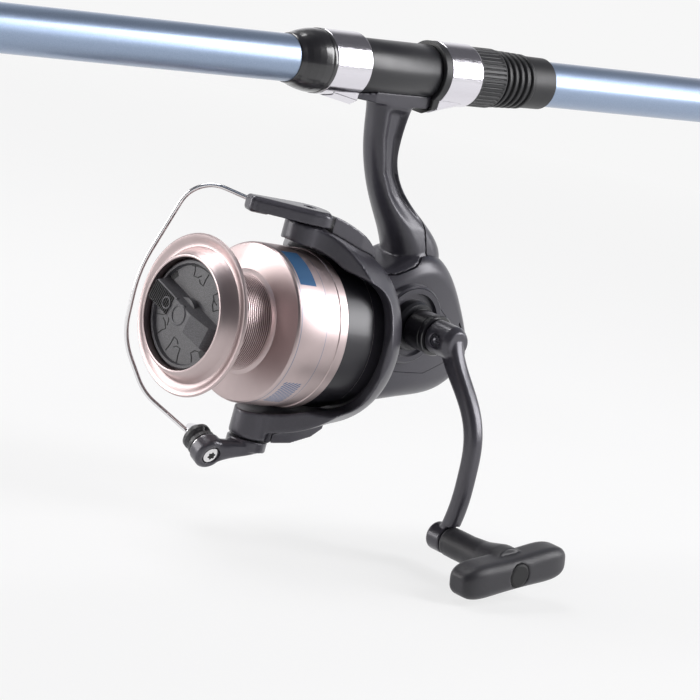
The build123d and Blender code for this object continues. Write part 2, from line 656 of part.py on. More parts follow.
def make_spool():
    skin = skirt_radius - skirt_wall
    bore = shaft_radius + spool_bore_gap
    lip = lip_x
    outline = [(skirt_rear, skin), (skirt_rear, skirt_radius - 0.4), (skirt_rear + 1.0, skirt_radius),
               (skirt_rear + 5.0, skirt_radius), (skirt_rear + 5.4, skirt_radius - 0.35),
               (flange_rear - 18.4, skirt_radius - 0.35), (flange_rear - 18.0, skirt_radius),
               (flange_rear - 0.8, skirt_radius), (flange_rear, skirt_radius - 0.8),
               (flange_rear + 2.2, arbor_radius + 1.6), (flange_rear + 3.0, arbor_radius + 1.0),
               (flange_rear + 3.6, arbor_radius)]
    groove_pitch = (lip - 5.5 - flange_rear - 4.6) / arbor_grooves
    for i in range(arbor_grooves):
        x = flange_rear + 4.6 + groove_pitch * i
        outline += [(x, arbor_radius), (x + groove_pitch * 0.3, arbor_radius - 0.45),
                    (x + groove_pitch * 0.6, arbor_radius)]
    outline += [(lip - 4.8, arbor_radius), (lip - 3.6, arbor_radius + 1.2), (lip - 1.6, skirt_radius - 1.4),
                (lip - 0.6, skirt_radius - 0.1), (lip + 0.4, skirt_radius), (lip + 1.0, skirt_radius - 0.8),
                (lip + 0.5, skirt_radius - 2.6), (lip - 0.6, skirt_radius - 5.0), (lip - 0.2, skirt_radius - 6.6),
                (lip + 1.6, skirt_radius - 7.6), (collar_front - 1.6, knob_bore + 2.2),
                (collar_front - 0.3, knob_bore + 1.4), (collar_front, knob_bore + 0.8), (collar_front, knob_bore),
                (knob_floor, knob_bore), (knob_floor, drag_bore), (drag_floor, drag_bore), (drag_floor, bore),
                (spool_rear, bore), (spool_rear, 8.0), (drag_floor - 3.0, 8.0), (drag_floor - 3.0, arbor_radius - 2.2),
                (flange_rear + 3.0, arbor_radius - 2.2), (flange_rear - 1.2, skin)]
    add("spool", turned(outline), reel_place)
    x = drag_floor
    felts, plates = [], []
    for i in range(drag_discs):
        felts.append(tube(x, x + felt_thick, drag_bore - 0.6, shaft_radius + 0.6))
        x += felt_thick
        plates.append(tube(x, x + plate_thick, drag_bore - 0.6, shaft_radius + 0.6))
        x += plate_thick
    add("drag_felts", Compound(children=felts), reel_place)
    plates.append(tube(x, x + 1.1, drag_bore, drag_bore - 2.2))
    add("drag_plates", Compound(children=plates), reel_place)
    ratchet = tube(spool_rear + 1.5, spool_rear + 3.5, 12.0)
    notch = Pos(spool_rear + 2.5, 0, 12.4) * Box(3.0, 1.2, 2.0)
    add("click_wheel", ratchet - around(notch, 24) - tube(0, 90, 8.0), reel_place)
    return x


def make_drag_knob(stack_end):
    face = knob_floor + 0.6
    rim = knob_bore - 0.6
    disc = turned([(face, knob_sleeve - 2.5), (face, rim), (face + 4.2, rim), (face + 5.0, rim - 0.8),
                   (face + 5.0, rim - 2.0), (face + 3.4, rim - 2.6), (face + 3.4, 0), (face + 2.6, 0),
                   (face + 2.6, knob_sleeve - 2.5)])
    sleeve = tube(stack_end + 0.1, face + 0.1, knob_sleeve, 6.0)
    floor = face + 3.4
    low, high = floor - 0.1, knob_front
    side = [(low, -rim + 2.4), (high - 2.2, -rim + 5.0), (high, -8.5), (high, 8.5), (high - 2.2, rim - 5.0),
            (low, rim - 2.4)]
    bar = extrude(Plane.XY * make_face(Polyline(*side, close=True)), amount=20, both=True)
    slab = [(low, -6.6), (low, 6.6), (high, 4.6), (high, -4.6)]
    bar = bar & side_plate(slab, -40, 40)
    boss = tube(low, floor + 3.2, 7.6)
    knob = disc + sleeve + boss + bar
    knob = knob - tube(knob_front - 60, knob_front - 1.2, shaft_radius + running_clearance)
    knob = knob - extrude(Plane.YZ.offset(stack_end + 0.4) * RegularPolygon(6.0, 6), amount=5.2)
    turn = Rot(knob_bar_angle, 0, 0)
    add("drag_knob", turn * knob, reel_place)
    nut = extrude(Plane.YZ.offset(stack_end + 0.5) * RegularPolygon(5.9, 6), amount=5.0)
    add("drag_nut", turn * (nut - tube(0, 140, shaft_radius + running_clearance)), reel_place)


# ---------------------------------------------------------------- bail

def bail_plane():
    angle = math.radians(bail_angle)
    along = (math.cos(angle), -math.sin(angle), 0)
    normal = (-math.sin(angle), -math.cos(angle), 0)
    return Plane(origin=(wire_plane_x, 0, 0), x_dir=along, z_dir=normal)


def make_bail():
    plane = bail_plane()
    path = FilletPolyline(*wire_corners, radius=wire_bends)
    path = plane * path
    wire = sweep(Plane(path @ 0, z_dir=path % 0) * Circle(wire_radius), path=path)
    low = arm_tip_high + pivot_gap
    high = low + lever_thick
    nose = math.degrees(math.atan2(socket[1], socket[0] - pivot_x))
    reach = math.hypot(socket[1], socket[0] - pivot_x)
    tail = Pos(*lever_tail) * Circle(lever_tail_radius)
    outline = make_hull((Circle(lever_radius) + Pos(reach, 0) * Circle(5.2) + tail).edges())
    lever = Pos(pivot_x, 0, low) * Rot(0, 0, nose) * extrude(outline, amount=lever_thick)
    lever = chamfer(lever.edges().group_by(Axis.Z)[-1], 1.8)
    nose_block = Pos(reach, 0, low + lever_thick / 2 - 0.4) * Box(11.0, 9.0, lever_thick + 0.8)
    nose_block = fillet(nose_block.edges(), 2.0)
    lever = lever + Pos(pivot_x, 0, 0) * Rot(0, 0, nose) * nose_block
    pin_hole = Pos(pivot_x, 0, 0) * Cylinder(pivot_pin_radius, 2 * (high + 10))
    add("bail_lever", lever - wire - pin_hole, reel_place)
    pins = []
    for side in (1, -1):
        inner = arm_tip_end(side) - pin_depth
        outer = arm_tip_end(side) + pivot_gap + lever_thick - 1.0
        pins.append(Pos(pivot_x, 0, side * (outer + inner) / 2) * Cylinder(pivot_pin_radius, outer - inner))
    add("bail_pins", Compound(children=pins), reel_place)
    make_roller(arm_tip_end(-1) + pivot_gap, wire, pin_hole)


def roller_web(place, head_low, head_top, gap_level):
    """Swept web between the disc on the pivot and the head that carries the roller."""
    near = Plane(origin=(pivot_x - 2.0, 2.0, -gap_level - 2.6), z_dir=(1, 0.1, -0.25), x_dir=(0, 1, 0))
    middle = Plane(origin=(pivot_x + 9.0, 1.8, -gap_level - 5.2), z_dir=(1, 0, -0.35), x_dir=(0, 1, 0))
    head = place * Pos(0, 0, (head_low + head_top) / 2)
    centre = head.position
    far = Plane(origin=(centre.X - 1.0, centre.Y, centre.Z), z_dir=(1, 0, -0.15),
                x_dir=(0, math.cos(math.radians(roller_tilt)), -math.sin(math.radians(roller_tilt))))
    height = head_top - head_low
    return loft([near * RectangleRounded(15.0, 5.0, 2.2), middle * RectangleRounded(9.5, 8.0, 2.6),
                 far * RectangleRounded(height - 0.4, 13.6, 1.6)])


def make_roller(gap_level, wire, pin_hole):
    place = Location(roller_centre, (90.0 - roller_tilt, 0, 0))
    half = roller_length / 2
    groove = 1.5
    bore = axle_radius + running_clearance
    roller = Rot(0, -90, 0) * turned([(-half, bore), (-half, roller_radius - 0.5), (-half + 0.5, roller_radius),
                                      (-1.6, roller_radius), (0, roller_radius - groove), (1.6, roller_radius),
                                      (half - 0.5, roller_radius), (half, roller_radius - 0.5), (half, bore)])
    add("line_roller", place * roller, reel_place)
    head_top = -half - 0.9
    head_low = head_top - 7.0
    axle = Pos(0, 0, (head_low + 1.5 + half + 4.0) / 2) * Cylinder(axle_radius, half + 4.0 - head_low - 1.5)
    washer = Pos(0, 0, -half - 0.55) * Cylinder(5.4, 0.6)
    add("roller_axle", place * (axle + washer), reel_place)
    cone = turned([(half + 0.25, axle_radius), (half + 0.25, roller_radius - 1.3), (half + 1.4, roller_radius - 1.7),
                   (half + 6.5, wire_radius + 0.9), (half + 6.5, 0), (half + 4.0, 0), (half + 4.0, axle_radius)])
    cone = Rot(0, -90, 0) * cone
    add("bail_wire", wire + place * cone, reel_place)
    plate = Pos(0, 0, head_low) * extrude(Circle(7.8), amount=head_top - head_low)
    plate = chamfer(plate.edges().group_by(Axis.Z)[0], 1.2)
    recess = Pos(0, 0, head_low) * Cylinder(4.6, 3.0)
    root = Pos(pivot_x, 0, -gap_level) * Rot(180, 0, 0) * extrude(Circle(arm_tip_radius), amount=5.0)
    arm = root + place * plate + roller_web(place, head_low, head_top, gap_level)
    level = Pos(pivot_x, 0, -gap_level + 50.0) * Box(120, 120, 100)
    bar = place * Cylinder(axle_radius, 40)
    roller_room = place * Pos(0, 0, head_top + 10.0) * Cylinder(roller_radius + 0.9, 20.0)
    arm = arm - level - bar - pin_hole - roller_room - place * recess
    add("roller_arm", arm, reel_place)
    screw = Pos(0, 0, head_low + 0.7) * Cylinder(4.2, 1.6)
    add("roller_screw", place * screw, reel_place)


# ---------------------------------------------------------------- crank and knob

def crank_outline():
    """Side outline of the crank arm, between the offsets of its curved middle line."""
    path = [(49.1, 1.0, 5.6), (55.8, -10.4, 4.8), (65.0, -20.7, 4.3), (72.2, -30.9, 4.1), (75.8, -43.2, 3.9),
            (75.8, -56.0, 3.8), (74.5, -69.8, 3.8), (71.6, -81.7, 3.8), (68.7, -crank_length, 3.8)]
    near, far = [], []
    for i, (y, z, half) in enumerate(path):
        before, after = path[max(i - 1, 0)], path[min(i + 1, len(path) - 1)]
        run = math.hypot(after[0] - before[0], after[1] - before[1])
        across_y, across_z = (after[1] - before[1]) / run, -(after[0] - before[0]) / run
        near.append((y + across_y * half, z + across_z * half))
        far.append((y - across_y * half, z - across_z * half))
    first, second = Spline(*near), Spline(*far)
    return make_face(first + Line(near[-1], far[-1]) + second + Line(near[0], far[0]))


def make_crank():
    add("shaft_cover", across(turned([
        (boss_face + 4.0, drive_shaft_radius), (boss_face + 4.0, 8.8), (boss_face + 5.0, 9.5), (hub_inner - 3.4, 9.5),
        (hub_inner - 3.0, 9.0), (hub_inner - 2.6, 9.8), (hub_inner - 0.4, 9.8), (hub_inner, 9.4),
        (hub_inner, drive_shaft_radius)])), crank_place)
    hub = across(turned([(hub_inner, 0), (hub_inner, hub_radius), (hub_outer - 3.0, hub_radius - 0.3),
                         (hub_outer, hub_radius - 2.2), (hub_outer, 0)]))
    blade = extrude(Plane.YZ * crank_outline(), amount=arm_thick / 2, both=True)
    blade = fillet(blade.edges().filter_by(GeomType.BSPLINE), 2.6)
    boss = Pos(0, 0, -crank_length) * across(turned([
        (arm_end_low, 0), (arm_end_low, 5.4), (arm_end_low + 1.4, 6.8), (arm_end_high, 6.8), (arm_end_high, 0)]))
    arm = hub + blade + boss
    end = Pos(0, 0, -crank_length)
    arm = arm - end * across(tube(arm_end_low - 5, arm_end_high + 1, post_radius))
    arm = arm - end * across(tube(arm_end_high, post_end, knob_neck_radius + 0.6))
    recess = Pos(hub_radius, hub_screw_y, 0) * Rot(0, 90, 0) * Cylinder(3.3, 4.0)
    add("crank_arm", arm - recess, crank_place)
    screw = Pos(hub_radius - 1.4, hub_screw_y, 0) * Rot(0, 90, 0) * (Cylinder(2.9, 1.2) - Pos(0, 0, 0.4) * Cylinder(1.2, 1))
    add("crank_screw", screw, crank_place)
    post = turned([(arm_end_low, 0), (arm_end_low, post_radius), (post_end, post_radius), (post_end, 0)])
    add("knob_post", across(post), crank_place * Pos(0, 0, -crank_length))


def make_knob():
    start, thick = arm_end_high + 0.4, knob_neck_radius
    neck = across(turned([(start, 0), (start, thick - 0.5), (start + 1.6, thick), (start + 2.6, thick),
                          (start + 2.9, thick - 0.5), (start + 3.3, thick - 0.5), (start + 3.6, thick),
                          (start + 14.0, thick), (start + 24.0, thick + 0.8), (knob_centre - 6.0, thick + 3.4),
                          (knob_centre, thick + 3.4), (knob_centre, 0)]))
    half = knob_half_length
    shape = ((-1.0, 4.2, 3.6, 2.6), (-0.93, 6.4, 6.0, 3.6), (-0.72, 8.0, 7.9, 4.6), (-0.3, 8.3, 7.9, 5.0),
             (0.3, 8.3, 7.9, 5.0), (0.72, 8.0, 7.9, 4.6), (0.93, 6.4, 6.0, 3.6), (1.0, 4.2, 3.6, 2.6))
    bar = loft([Plane.YZ.offset(half * along) * Pos(knob_centre, 0) * RectangleRounded(2 * deep, 2 * tall, round_off)
                for along, deep, tall, round_off in shape])
    recess = across(tube(knob_centre + knob_radius - 2.2, knob_centre + knob_radius + 5, knob_cap_radius + 0.1))
    bore = across(tube(arm_end_high - 1, post_end + 0.5, post_radius + running_clearance))
    turn = crank_place * Pos(0, 0, -crank_length) * Rot(0, knob_tilt + axis_tilt - crank_lean, 0)
    add("t_knob", neck + bar - recess - bore, turn)
    cap = across(turned([(knob_centre + knob_radius - 2.2, 0), (knob_centre + knob_radius - 2.2, knob_cap_radius),
                         (knob_centre + knob_radius - 0.5, knob_cap_radius), (knob_centre + knob_radius - 0.1, 4.6),
                         (knob_centre + knob_radius - 0.1, 0)]))
    add("knob_cap", cap, turn)


for maker in (make_butt, make_seat, make_body, make_drive_train, make_shaft, make_rotor, make_bail, make_crank,
              make_knob):
    maker()
make_drag_knob(make_spool())
for number in range(section_count):
    make_section(number)

for name, shape in nodes.items():
    export_step(shape, f"parts/{name}.step")
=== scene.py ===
import json
import math

import bmesh
import bpy
from mathutils import Matrix, Vector


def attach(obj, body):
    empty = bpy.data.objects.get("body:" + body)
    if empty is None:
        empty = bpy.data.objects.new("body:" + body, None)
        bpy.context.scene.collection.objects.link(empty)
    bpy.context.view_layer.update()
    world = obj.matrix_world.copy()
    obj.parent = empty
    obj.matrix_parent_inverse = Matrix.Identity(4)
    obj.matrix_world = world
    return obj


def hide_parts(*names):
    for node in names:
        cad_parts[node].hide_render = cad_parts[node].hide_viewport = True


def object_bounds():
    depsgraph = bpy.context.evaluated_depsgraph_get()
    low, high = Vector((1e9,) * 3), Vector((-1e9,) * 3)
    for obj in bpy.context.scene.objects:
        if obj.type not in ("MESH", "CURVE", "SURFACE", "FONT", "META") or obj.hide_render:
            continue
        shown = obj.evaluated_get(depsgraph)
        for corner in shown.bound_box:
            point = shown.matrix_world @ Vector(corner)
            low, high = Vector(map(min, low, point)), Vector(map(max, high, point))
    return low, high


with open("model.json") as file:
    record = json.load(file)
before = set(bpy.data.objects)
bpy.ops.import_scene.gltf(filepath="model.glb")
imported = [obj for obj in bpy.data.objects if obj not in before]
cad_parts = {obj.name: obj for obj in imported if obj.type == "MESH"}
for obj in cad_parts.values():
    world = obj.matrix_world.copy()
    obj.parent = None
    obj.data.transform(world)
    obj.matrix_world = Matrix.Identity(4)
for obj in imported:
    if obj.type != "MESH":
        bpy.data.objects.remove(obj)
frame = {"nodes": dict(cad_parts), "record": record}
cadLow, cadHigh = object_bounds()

millimetre = 0.001
reel = {"tilt": 4.38, "drop": 128.6}    # the reel's own frame below the rod, X along the spool's axis
reelSpace = (Matrix.Translation((0, 0, -reel["drop"] * millimetre))
             @ Matrix.Rotation(-math.radians(reel["tilt"]), 4, "Y") @ Matrix.Scale(millimetre, 4))
rodSpace = Matrix.Scale(millimetre, 4)

# shader helpers

def feed(tree, socket, value):
    if isinstance(value, bpy.types.NodeSocket):
        tree.links.new(value, socket)
    else:
        socket.default_value = value


def addNode(tree, kind, inputs=None, **settings):
    node = tree.nodes.new(kind)
    for key, value in settings.items():
        setattr(node, key, value)
    for key, value in (inputs or {}).items():
        feed(tree, node.inputs[key], value)
    return node


def doMath(tree, operation, *values):
    return addNode(tree, "ShaderNodeMath", dict(enumerate(values)), operation=operation).outputs[0]


def mapRange(tree, value, source, result=(0.0, 1.0)):
    ends = {"From Min": source[0], "From Max": source[1], "To Min": result[0], "To Max": result[1]}
    return addNode(tree, "ShaderNodeMapRange", {"Value": value, **ends}).outputs[0]


# 1 inside low..high, 0 outside, with a soft edge
def between(tree, value, low, high, soft):
    up = mapRange(tree, value, (low - soft, low + soft))
    down = mapRange(tree, value, (high + soft, high - soft))
    return doMath(tree, "MULTIPLY", up, down)


def noise(tree, vector, scale, detail, **more):
    inputs = {"Vector": vector, "Scale": scale, "Detail": detail, **more}
    return addNode(tree, "ShaderNodeTexNoise", inputs).outputs["Fac"]


def cells(tree, vector, scale, **settings):
    return addNode(tree, "ShaderNodeTexVoronoi", {"Vector": vector, "Scale": scale}, **settings).outputs


def mixColour(tree, factor, first, second):
    return addNode(tree, "ShaderNodeMix", {0: factor, 6: first, 7: second}, data_type="RGBA").outputs[2]


# node group with a vector input, float inputs with their defaults, and float outputs
def startGroup(name, numbers, outputs):
    group = bpy.data.node_groups.new(name, "ShaderNodeTree")
    group.interface.new_socket("Vector", in_out="INPUT", socket_type="NodeSocketVector")
    for label, value in numbers.items():
        socket = group.interface.new_socket(label, in_out="INPUT", socket_type="NodeSocketFloat")
        socket.default_value = value
    for label in outputs:
        group.interface.new_socket(label, in_out="OUTPUT", socket_type="NodeSocketFloat")
    return group, group.nodes.new("NodeGroupInput").outputs, group.nodes.new("NodeGroupOutput").inputs


def useGroup(tree, group, inputs):
    return addNode(tree, "ShaderNodeGroup", inputs, node_tree=group).outputs


def startMaterial(name, surface):
    material = bpy.data.materials.new(name)
    material.use_nodes = True
    tree = material.node_tree
    shader = tree.nodes["Principled BSDF"]
    for key, value in surface.items():
        shader.inputs[key].default_value = value
    place = addNode(tree, "ShaderNodeTexCoord").outputs["Object"]
    return material, tree, shader, place


# place along the spool's axis and distance from it in mm, and angle about it in degrees
def makeReelCoordinates():
    group, inside, out = startGroup("reelCoordinates", {}, ("Along", "Radius", "Angle"))
    lifted = addNode(group, "ShaderNodeVectorMath", {0: inside["Vector"], 1: (0, 0, reel["drop"] * millimetre)},
                     operation="ADD").outputs[0]
    turned = addNode(group, "ShaderNodeVectorRotate", {"Vector": lifted, "Angle": math.radians(reel["tilt"])},
                     rotation_type="Y_AXIS").outputs[0]
    split = addNode(group, "ShaderNodeSeparateXYZ", {0: turned}).outputs
    squareY = doMath(group, "MULTIPLY", split["Y"], split["Y"])
    square = doMath(group, "MULTIPLY_ADD", split["Z"], split["Z"], squareY)
    angle = doMath(group, "ARCTAN2", split["Z"], split["Y"])
    feed(group, out["Along"], doMath(group, "MULTIPLY", split["X"], 1 / millimetre))
    feed(group, out["Radius"], doMath(group, "MULTIPLY", doMath(group, "SQRT", square), 1 / millimetre))
    feed(group, out["Angle"], doMath(group, "MULTIPLY", angle, 180.0 / math.pi))
    return group


mouldLook = {"scale": 2500.0, "cloud": 60.0, "fleckEdge": (0.05, 0.5)}


def makeMouldGrain():
    group, inside, out = startGroup("mouldGrain", {"Scale": mouldLook["scale"]}, ("Height", "Fleck", "Cloud"))
    place, scale = inside["Vector"], inside["Scale"]
    feed(group, out["Height"], noise(group, place, scale, 2.0))
    feed(group, out["Fleck"], mapRange(group, cells(group, place, scale)["Distance"], mouldLook["fleckEdge"],
                                       (1.0, 0.0)))
    feed(group, out["Cloud"], noise(group, place, mouldLook["cloud"], 3.0))
    return group


scuffLook = {"scale": 300.0, "turn": (0.4, 0.9, 0.2), "stretch": (1.0, 9.0, 1.0), "edge": (0.62, 0.78)}


def makeScuffs():
    group, inside, out = startGroup("scuffs", {"Amount": 0.5}, ("Mask",))
    stretched = addNode(group, "ShaderNodeMapping", {"Vector": inside["Vector"], "Rotation": scuffLook["turn"],
                                                     "Scale": scuffLook["stretch"]}).outputs[0]
    lines = noise(group, stretched, scuffLook["scale"], 4.0, Roughness=0.7)
    mask = mapRange(group, lines, scuffLook["edge"])
    feed(group, out["Mask"], doMath(group, "MULTIPLY", mask, inside["Amount"]))
    return group


reelCoordinates, mouldGrain, scuffs = makeReelCoordinates(), makeMouldGrain(), makeScuffs()


def addBump(tree, shader, height, strength, distance):
    bump = addNode(tree, "ShaderNodeBump", {"Strength": strength, "Distance": distance, "Height": height})
    feed(tree, shader.inputs["Normal"], bump.outputs[0])


noiseRange = (0.3, 0.7)    # where most of a noise's values lie


# moulded or cast surface: grain, flecks, cloudy gloss and faint scuffs
def grainMaterial(name, look):
    material, tree, shader, place = startMaterial(name, look["surface"])
    grain = useGroup(tree, mouldGrain, {"Vector": place, "Scale": look["grain"]})
    marks = useGroup(tree, scuffs, {"Vector": place, "Amount": look["scuffs"]})["Mask"]
    flecks = doMath(tree, "MULTIPLY", grain["Fleck"], look.get("fleckShare", 0.3))
    speckled = mixColour(tree, flecks, look["colour"], look["fleck"])
    feed(tree, shader.inputs["Base Color"],
         mixColour(tree, doMath(tree, "MULTIPLY", marks, 0.5), speckled, look["fleck"]))
    rough = mapRange(tree, grain["Cloud"], noiseRange, (look["rough"] - 0.05, look["rough"] + 0.05))
    feed(tree, shader.inputs["Roughness"], doMath(tree, "MULTIPLY_ADD", marks, 0.12, rough))
    addBump(tree, shader, grain["Height"], look["bump"], 0.0001)
    return material


# drawn or polished metal: fine lines along one axis and cloudy gloss
def metalMaterial(name, look):
    material, tree, shader, place = startMaterial(name, {"Metallic": 1.0})
    stretched = addNode(tree, "ShaderNodeMapping", {"Vector": place, "Scale": look["stretch"]}).outputs[0]
    lines = noise(tree, stretched, look["lines"], 3.0)
    feed(tree, shader.inputs["Roughness"],
         mapRange(tree, lines, noiseRange, (look["rough"] * 0.7, look["rough"] * 1.3)))
    feed(tree, shader.inputs["Base Color"], mixColour(tree, lines, look["colour"], look["light"]))
    addBump(tree, shader, lines, look["bump"], 0.00005)
    return material


# finishes

grainLooks = {
    "gearboxGrey": {"surface": {"Metallic": 0.25, "Coat Weight": 0.35, "Coat Roughness": 0.28},
                    "colour": (0.040, 0.038, 0.049, 1), "fleck": (0.14, 0.135, 0.165, 1),
                    "grain": 5200.0, "rough": 0.38, "bump": 0.10, "scuffs": 0.15},
    "armGrey": {"surface": {"Metallic": 0.35, "Coat Weight": 0.4, "Coat Roughness": 0.24},
                "colour": (0.060, 0.057, 0.070, 1), "fleck": (0.17, 0.165, 0.19, 1),
                "grain": 5200.0, "rough": 0.34, "bump": 0.08, "scuffs": 0.2},
    "pianoBlack": {"surface": {"Coat Weight": 0.8, "Coat Roughness": 0.14},
                   "colour": (0.008, 0.0075, 0.010, 1), "fleck": (0.02, 0.02, 0.024, 1),
                   "grain": 1500.0, "rough": 0.30, "bump": 0.02, "scuffs": 0.1},
    "barrelBlack": {"surface": {"Coat Weight": 0.15, "Coat Roughness": 0.3},
                    "colour": (0.012, 0.012, 0.015, 1), "fleck": (0.035, 0.034, 0.042, 1),
                    "grain": 4200.0, "rough": 0.36, "bump": 0.12, "scuffs": 0.15},
    "nutBlack": {"surface": {},
                 "colour": (0.013, 0.013, 0.015, 1), "fleck": (0.03, 0.03, 0.034, 1),
                 "grain": 3800.0, "rough": 0.46, "bump": 0.15, "scuffs": 0.2},
    "gripBlack": {"surface": {"Sheen Weight": 0.15, "Sheen Roughness": 0.4},
                  "colour": (0.024, 0.023, 0.028, 1), "fleck": (0.06, 0.058, 0.068, 1),
                  "grain": 3000.0, "rough": 0.46, "bump": 0.25, "scuffs": 0.3},
    "dialGrey": {"surface": {},
                 "colour": (0.060, 0.058, 0.064, 1), "fleck": (0.22, 0.21, 0.23, 1), "fleckShare": 0.6,
                 "grain": 2600.0, "rough": 0.42, "bump": 0.20, "scuffs": 0.2},
    "dialDark": {"surface": {},
                 "colour": (0.006, 0.006, 0.007, 1), "fleck": (0.012, 0.012, 0.014, 1),
                 "grain": 2600.0, "rough": 0.6, "bump": 0.1, "scuffs": 0.1},
    "buttRubber": {"surface": {},
                   "colour": (0.014, 0.014, 0.015, 1), "fleck": (0.03, 0.03, 0.03, 1),
                   "grain": 1400.0, "rough": 0.75, "bump": 0.35, "scuffs": 0.3},
    "ringCeramic": {"surface": {"Coat Weight": 0.6, "Coat Roughness": 0.06},
                    "colour": (0.20, 0.20, 0.22, 1), "fleck": (0.30, 0.30, 0.32, 1),
                    "grain": 1400.0, "rough": 0.16, "bump": 0.02, "scuffs": 0.1},
    "felt": {"surface": {"Sheen Weight": 0.5},
             "colour": (0.05, 0.05, 0.05, 1), "fleck": (0.12, 0.12, 0.12, 1),
             "grain": 1800.0, "rough": 0.95, "bump": 0.6, "scuffs": 0.1},
    "wrapThread": {"surface": {"Coat Weight": 0.9, "Coat Roughness": 0.08},
                   "colour": (0.01, 0.01, 0.013, 1), "fleck": (0.04, 0.04, 0.05, 1),
                   "grain": 1200.0, "rough": 0.4, "bump": 0.2, "scuffs": 0.05},
}
metalLooks = {
    "hoodSilver": {"colour": (0.70, 0.68, 0.73, 1), "light": (0.80, 0.78, 0.83, 1), "stretch": (1, 12, 12),
                   "lines": 260.0, "rough": 0.15, "bump": 0.03},
    "brightWire": {"colour": (0.74, 0.73, 0.74, 1), "light": (0.88, 0.87, 0.88, 1), "stretch": (3, 3, 3),
                   "lines": 400.0, "rough": 0.14, "bump": 0.04},
    "groundSteel": {"colour": (0.50, 0.50, 0.52, 1), "light": (0.64, 0.64, 0.66, 1), "stretch": (1, 8, 8),
                    "lines": 500.0, "rough": 0.27, "bump": 0.12},
    "gearBrass": {"colour": (0.62, 0.43, 0.16, 1), "light": (0.75, 0.55, 0.24, 1), "stretch": (8, 1, 1),
                  "lines": 500.0, "rough": 0.28, "bump": 0.1},
    "gearZinc": {"colour": (0.38, 0.38, 0.40, 1), "light": (0.50, 0.50, 0.52, 1), "stretch": (2, 2, 2),
                 "lines": 700.0, "rough": 0.45, "bump": 0.2},
}
finishes = {name: grainMaterial(name, look) for name, look in grainLooks.items()}
finishes.update({name: metalMaterial(name, look) for name, look in metalLooks.items()})

blankLook = {"colour": (0.22, 0.29, 0.41, 1), "light": (0.33, 0.41, 0.55, 1), "rough": 0.40, "flake": 3800.0,
             "cloud": 18.0, "surface": {"Metallic": 0.8, "Coat Weight": 0.5, "Coat Roughness": 0.15}}


# metal flake under clear lacquer
def makeBlankLacquer():
    look = blankLook
    material, tree, shader, place = startMaterial("blankLacquer", look["surface"])
    flake = cells(tree, place, look["flake"])
    cloud = noise(tree, place, look["cloud"], 2.0)
    bright = doMath(tree, "MULTIPLY_ADD", flake["Color"], 0.7, doMath(tree, "MULTIPLY", cloud, 0.3))
    feed(tree, shader.inputs["Base Color"], mixColour(tree, bright, look["colour"], look["light"]))
    feed(tree, shader.inputs["Roughness"],
         mapRange(tree, cloud, (0.0, 1.0), (look["rough"] - 0.04, look["rough"] + 0.04)))
    addBump(tree, shader, flake["Distance"], 0.04, 0.00005)
    return material


spoolLook = {"colour": (0.47, 0.385, 0.385, 1), "light": (0.58, 0.485, 0.48, 1), "blue": (0.045, 0.13, 0.27, 1),
             "lineBlue": (0.16, 0.22, 0.32, 1), "arborShade": (0.12, 0.09, 0.09, 1), "rough": 0.34,
             "arborRadius": (15.0, 22.3), "arborAlong": (71.2, 95.2), "skirtRadius": 36.2,
             "blockAlong": (55.0, 65.0), "blockAngle": (44.0, 78.0),
             "hatchAlong": (53.0, 63.5), "hatchAngle": (-56.0, -30.0), "hatchPitch": 2.1, "hatchSlant": 0.65,
             "lines": ((66.0, 66.35), (50.4, 50.65)), "turning": 9.0}


# anodised metal with turning marks, painted shade darkening the arbor's grooves, a blue block and a hatch on
# the skirt
def makeSpoolFinish():
    look = spoolLook
    material, tree, shader, place = startMaterial("champagneSpool", {})
    reelAt = useGroup(tree, reelCoordinates, {"Vector": place})
    along, radius, angle = reelAt["Along"], reelAt["Radius"], reelAt["Angle"]
    section = addNode(tree, "ShaderNodeCombineXYZ", {0: along, 1: radius}).outputs[0]
    turning = noise(tree, section, look["turning"], 2.0)
    addBump(tree, shader, turning, 0.05, 0.00003)
    cloud = noise(tree, place, 90.0, 3.0)
    # painted shade: the arbor's band of grooves is given a darker colour
    arbor = doMath(tree, "MULTIPLY", between(tree, radius, *look["arborRadius"], 0.03),
                   between(tree, along, *look["arborAlong"], 0.3))
    skirt = doMath(tree, "GREATER_THAN", radius, look["skirtRadius"])
    block, hatchArea = (doMath(tree, "MULTIPLY", between(tree, along, *look[name + "Along"], 0.08),
                               between(tree, angle, *look[name + "Angle"], 0.2)) for name in ("block", "hatch"))
    slant = doMath(tree, "MULTIPLY_ADD", angle, look["hatchSlant"], along)
    wave = doMath(tree, "SINE", doMath(tree, "MULTIPLY", slant, 2 * math.pi / look["hatchPitch"]))
    hatch = doMath(tree, "MULTIPLY", hatchArea, doMath(tree, "GREATER_THAN", wave, 0.0))
    painted = doMath(tree, "MULTIPLY", skirt, doMath(tree, "MAXIMUM", block, hatch))
    lines = doMath(tree, "ADD", *(between(tree, along, *ends, 0.05) for ends in look["lines"]))
    base = mixColour(tree, cloud, look["colour"], look["light"])
    edges = doMath(tree, "MULTIPLY", skirt, lines)
    for mask, colour in ((arbor, "arborShade"), (painted, "blue"), (edges, "lineBlue")):
        base = mixColour(tree, mask, base, look[colour])
    feed(tree, shader.inputs["Base Color"], base)
    feed(tree, shader.inputs["Metallic"], doMath(tree, "SUBTRACT", 1.0, doMath(tree, "MULTIPLY", painted, 0.6)))
    rough = mapRange(tree, cloud, (0.0, 1.0), (look["rough"] - 0.04, look["rough"] + 0.04))
    feed(tree, shader.inputs["Roughness"], doMath(tree, "MULTIPLY_ADD", turning, 0.12, rough))
    return material


rotorLook = {"frame": (0.058, 0.055, 0.068, 1), "fleck": (0.17, 0.165, 0.19, 1),
             "cup": (0.018, 0.017, 0.022, 1), "ring": (0.30, 0.28, 0.29, 1),
             "cupRadius": 36.4, "cupRear": 18.2, "ringAlong": (18.0, 19.4),
             "grain": 5200.0}


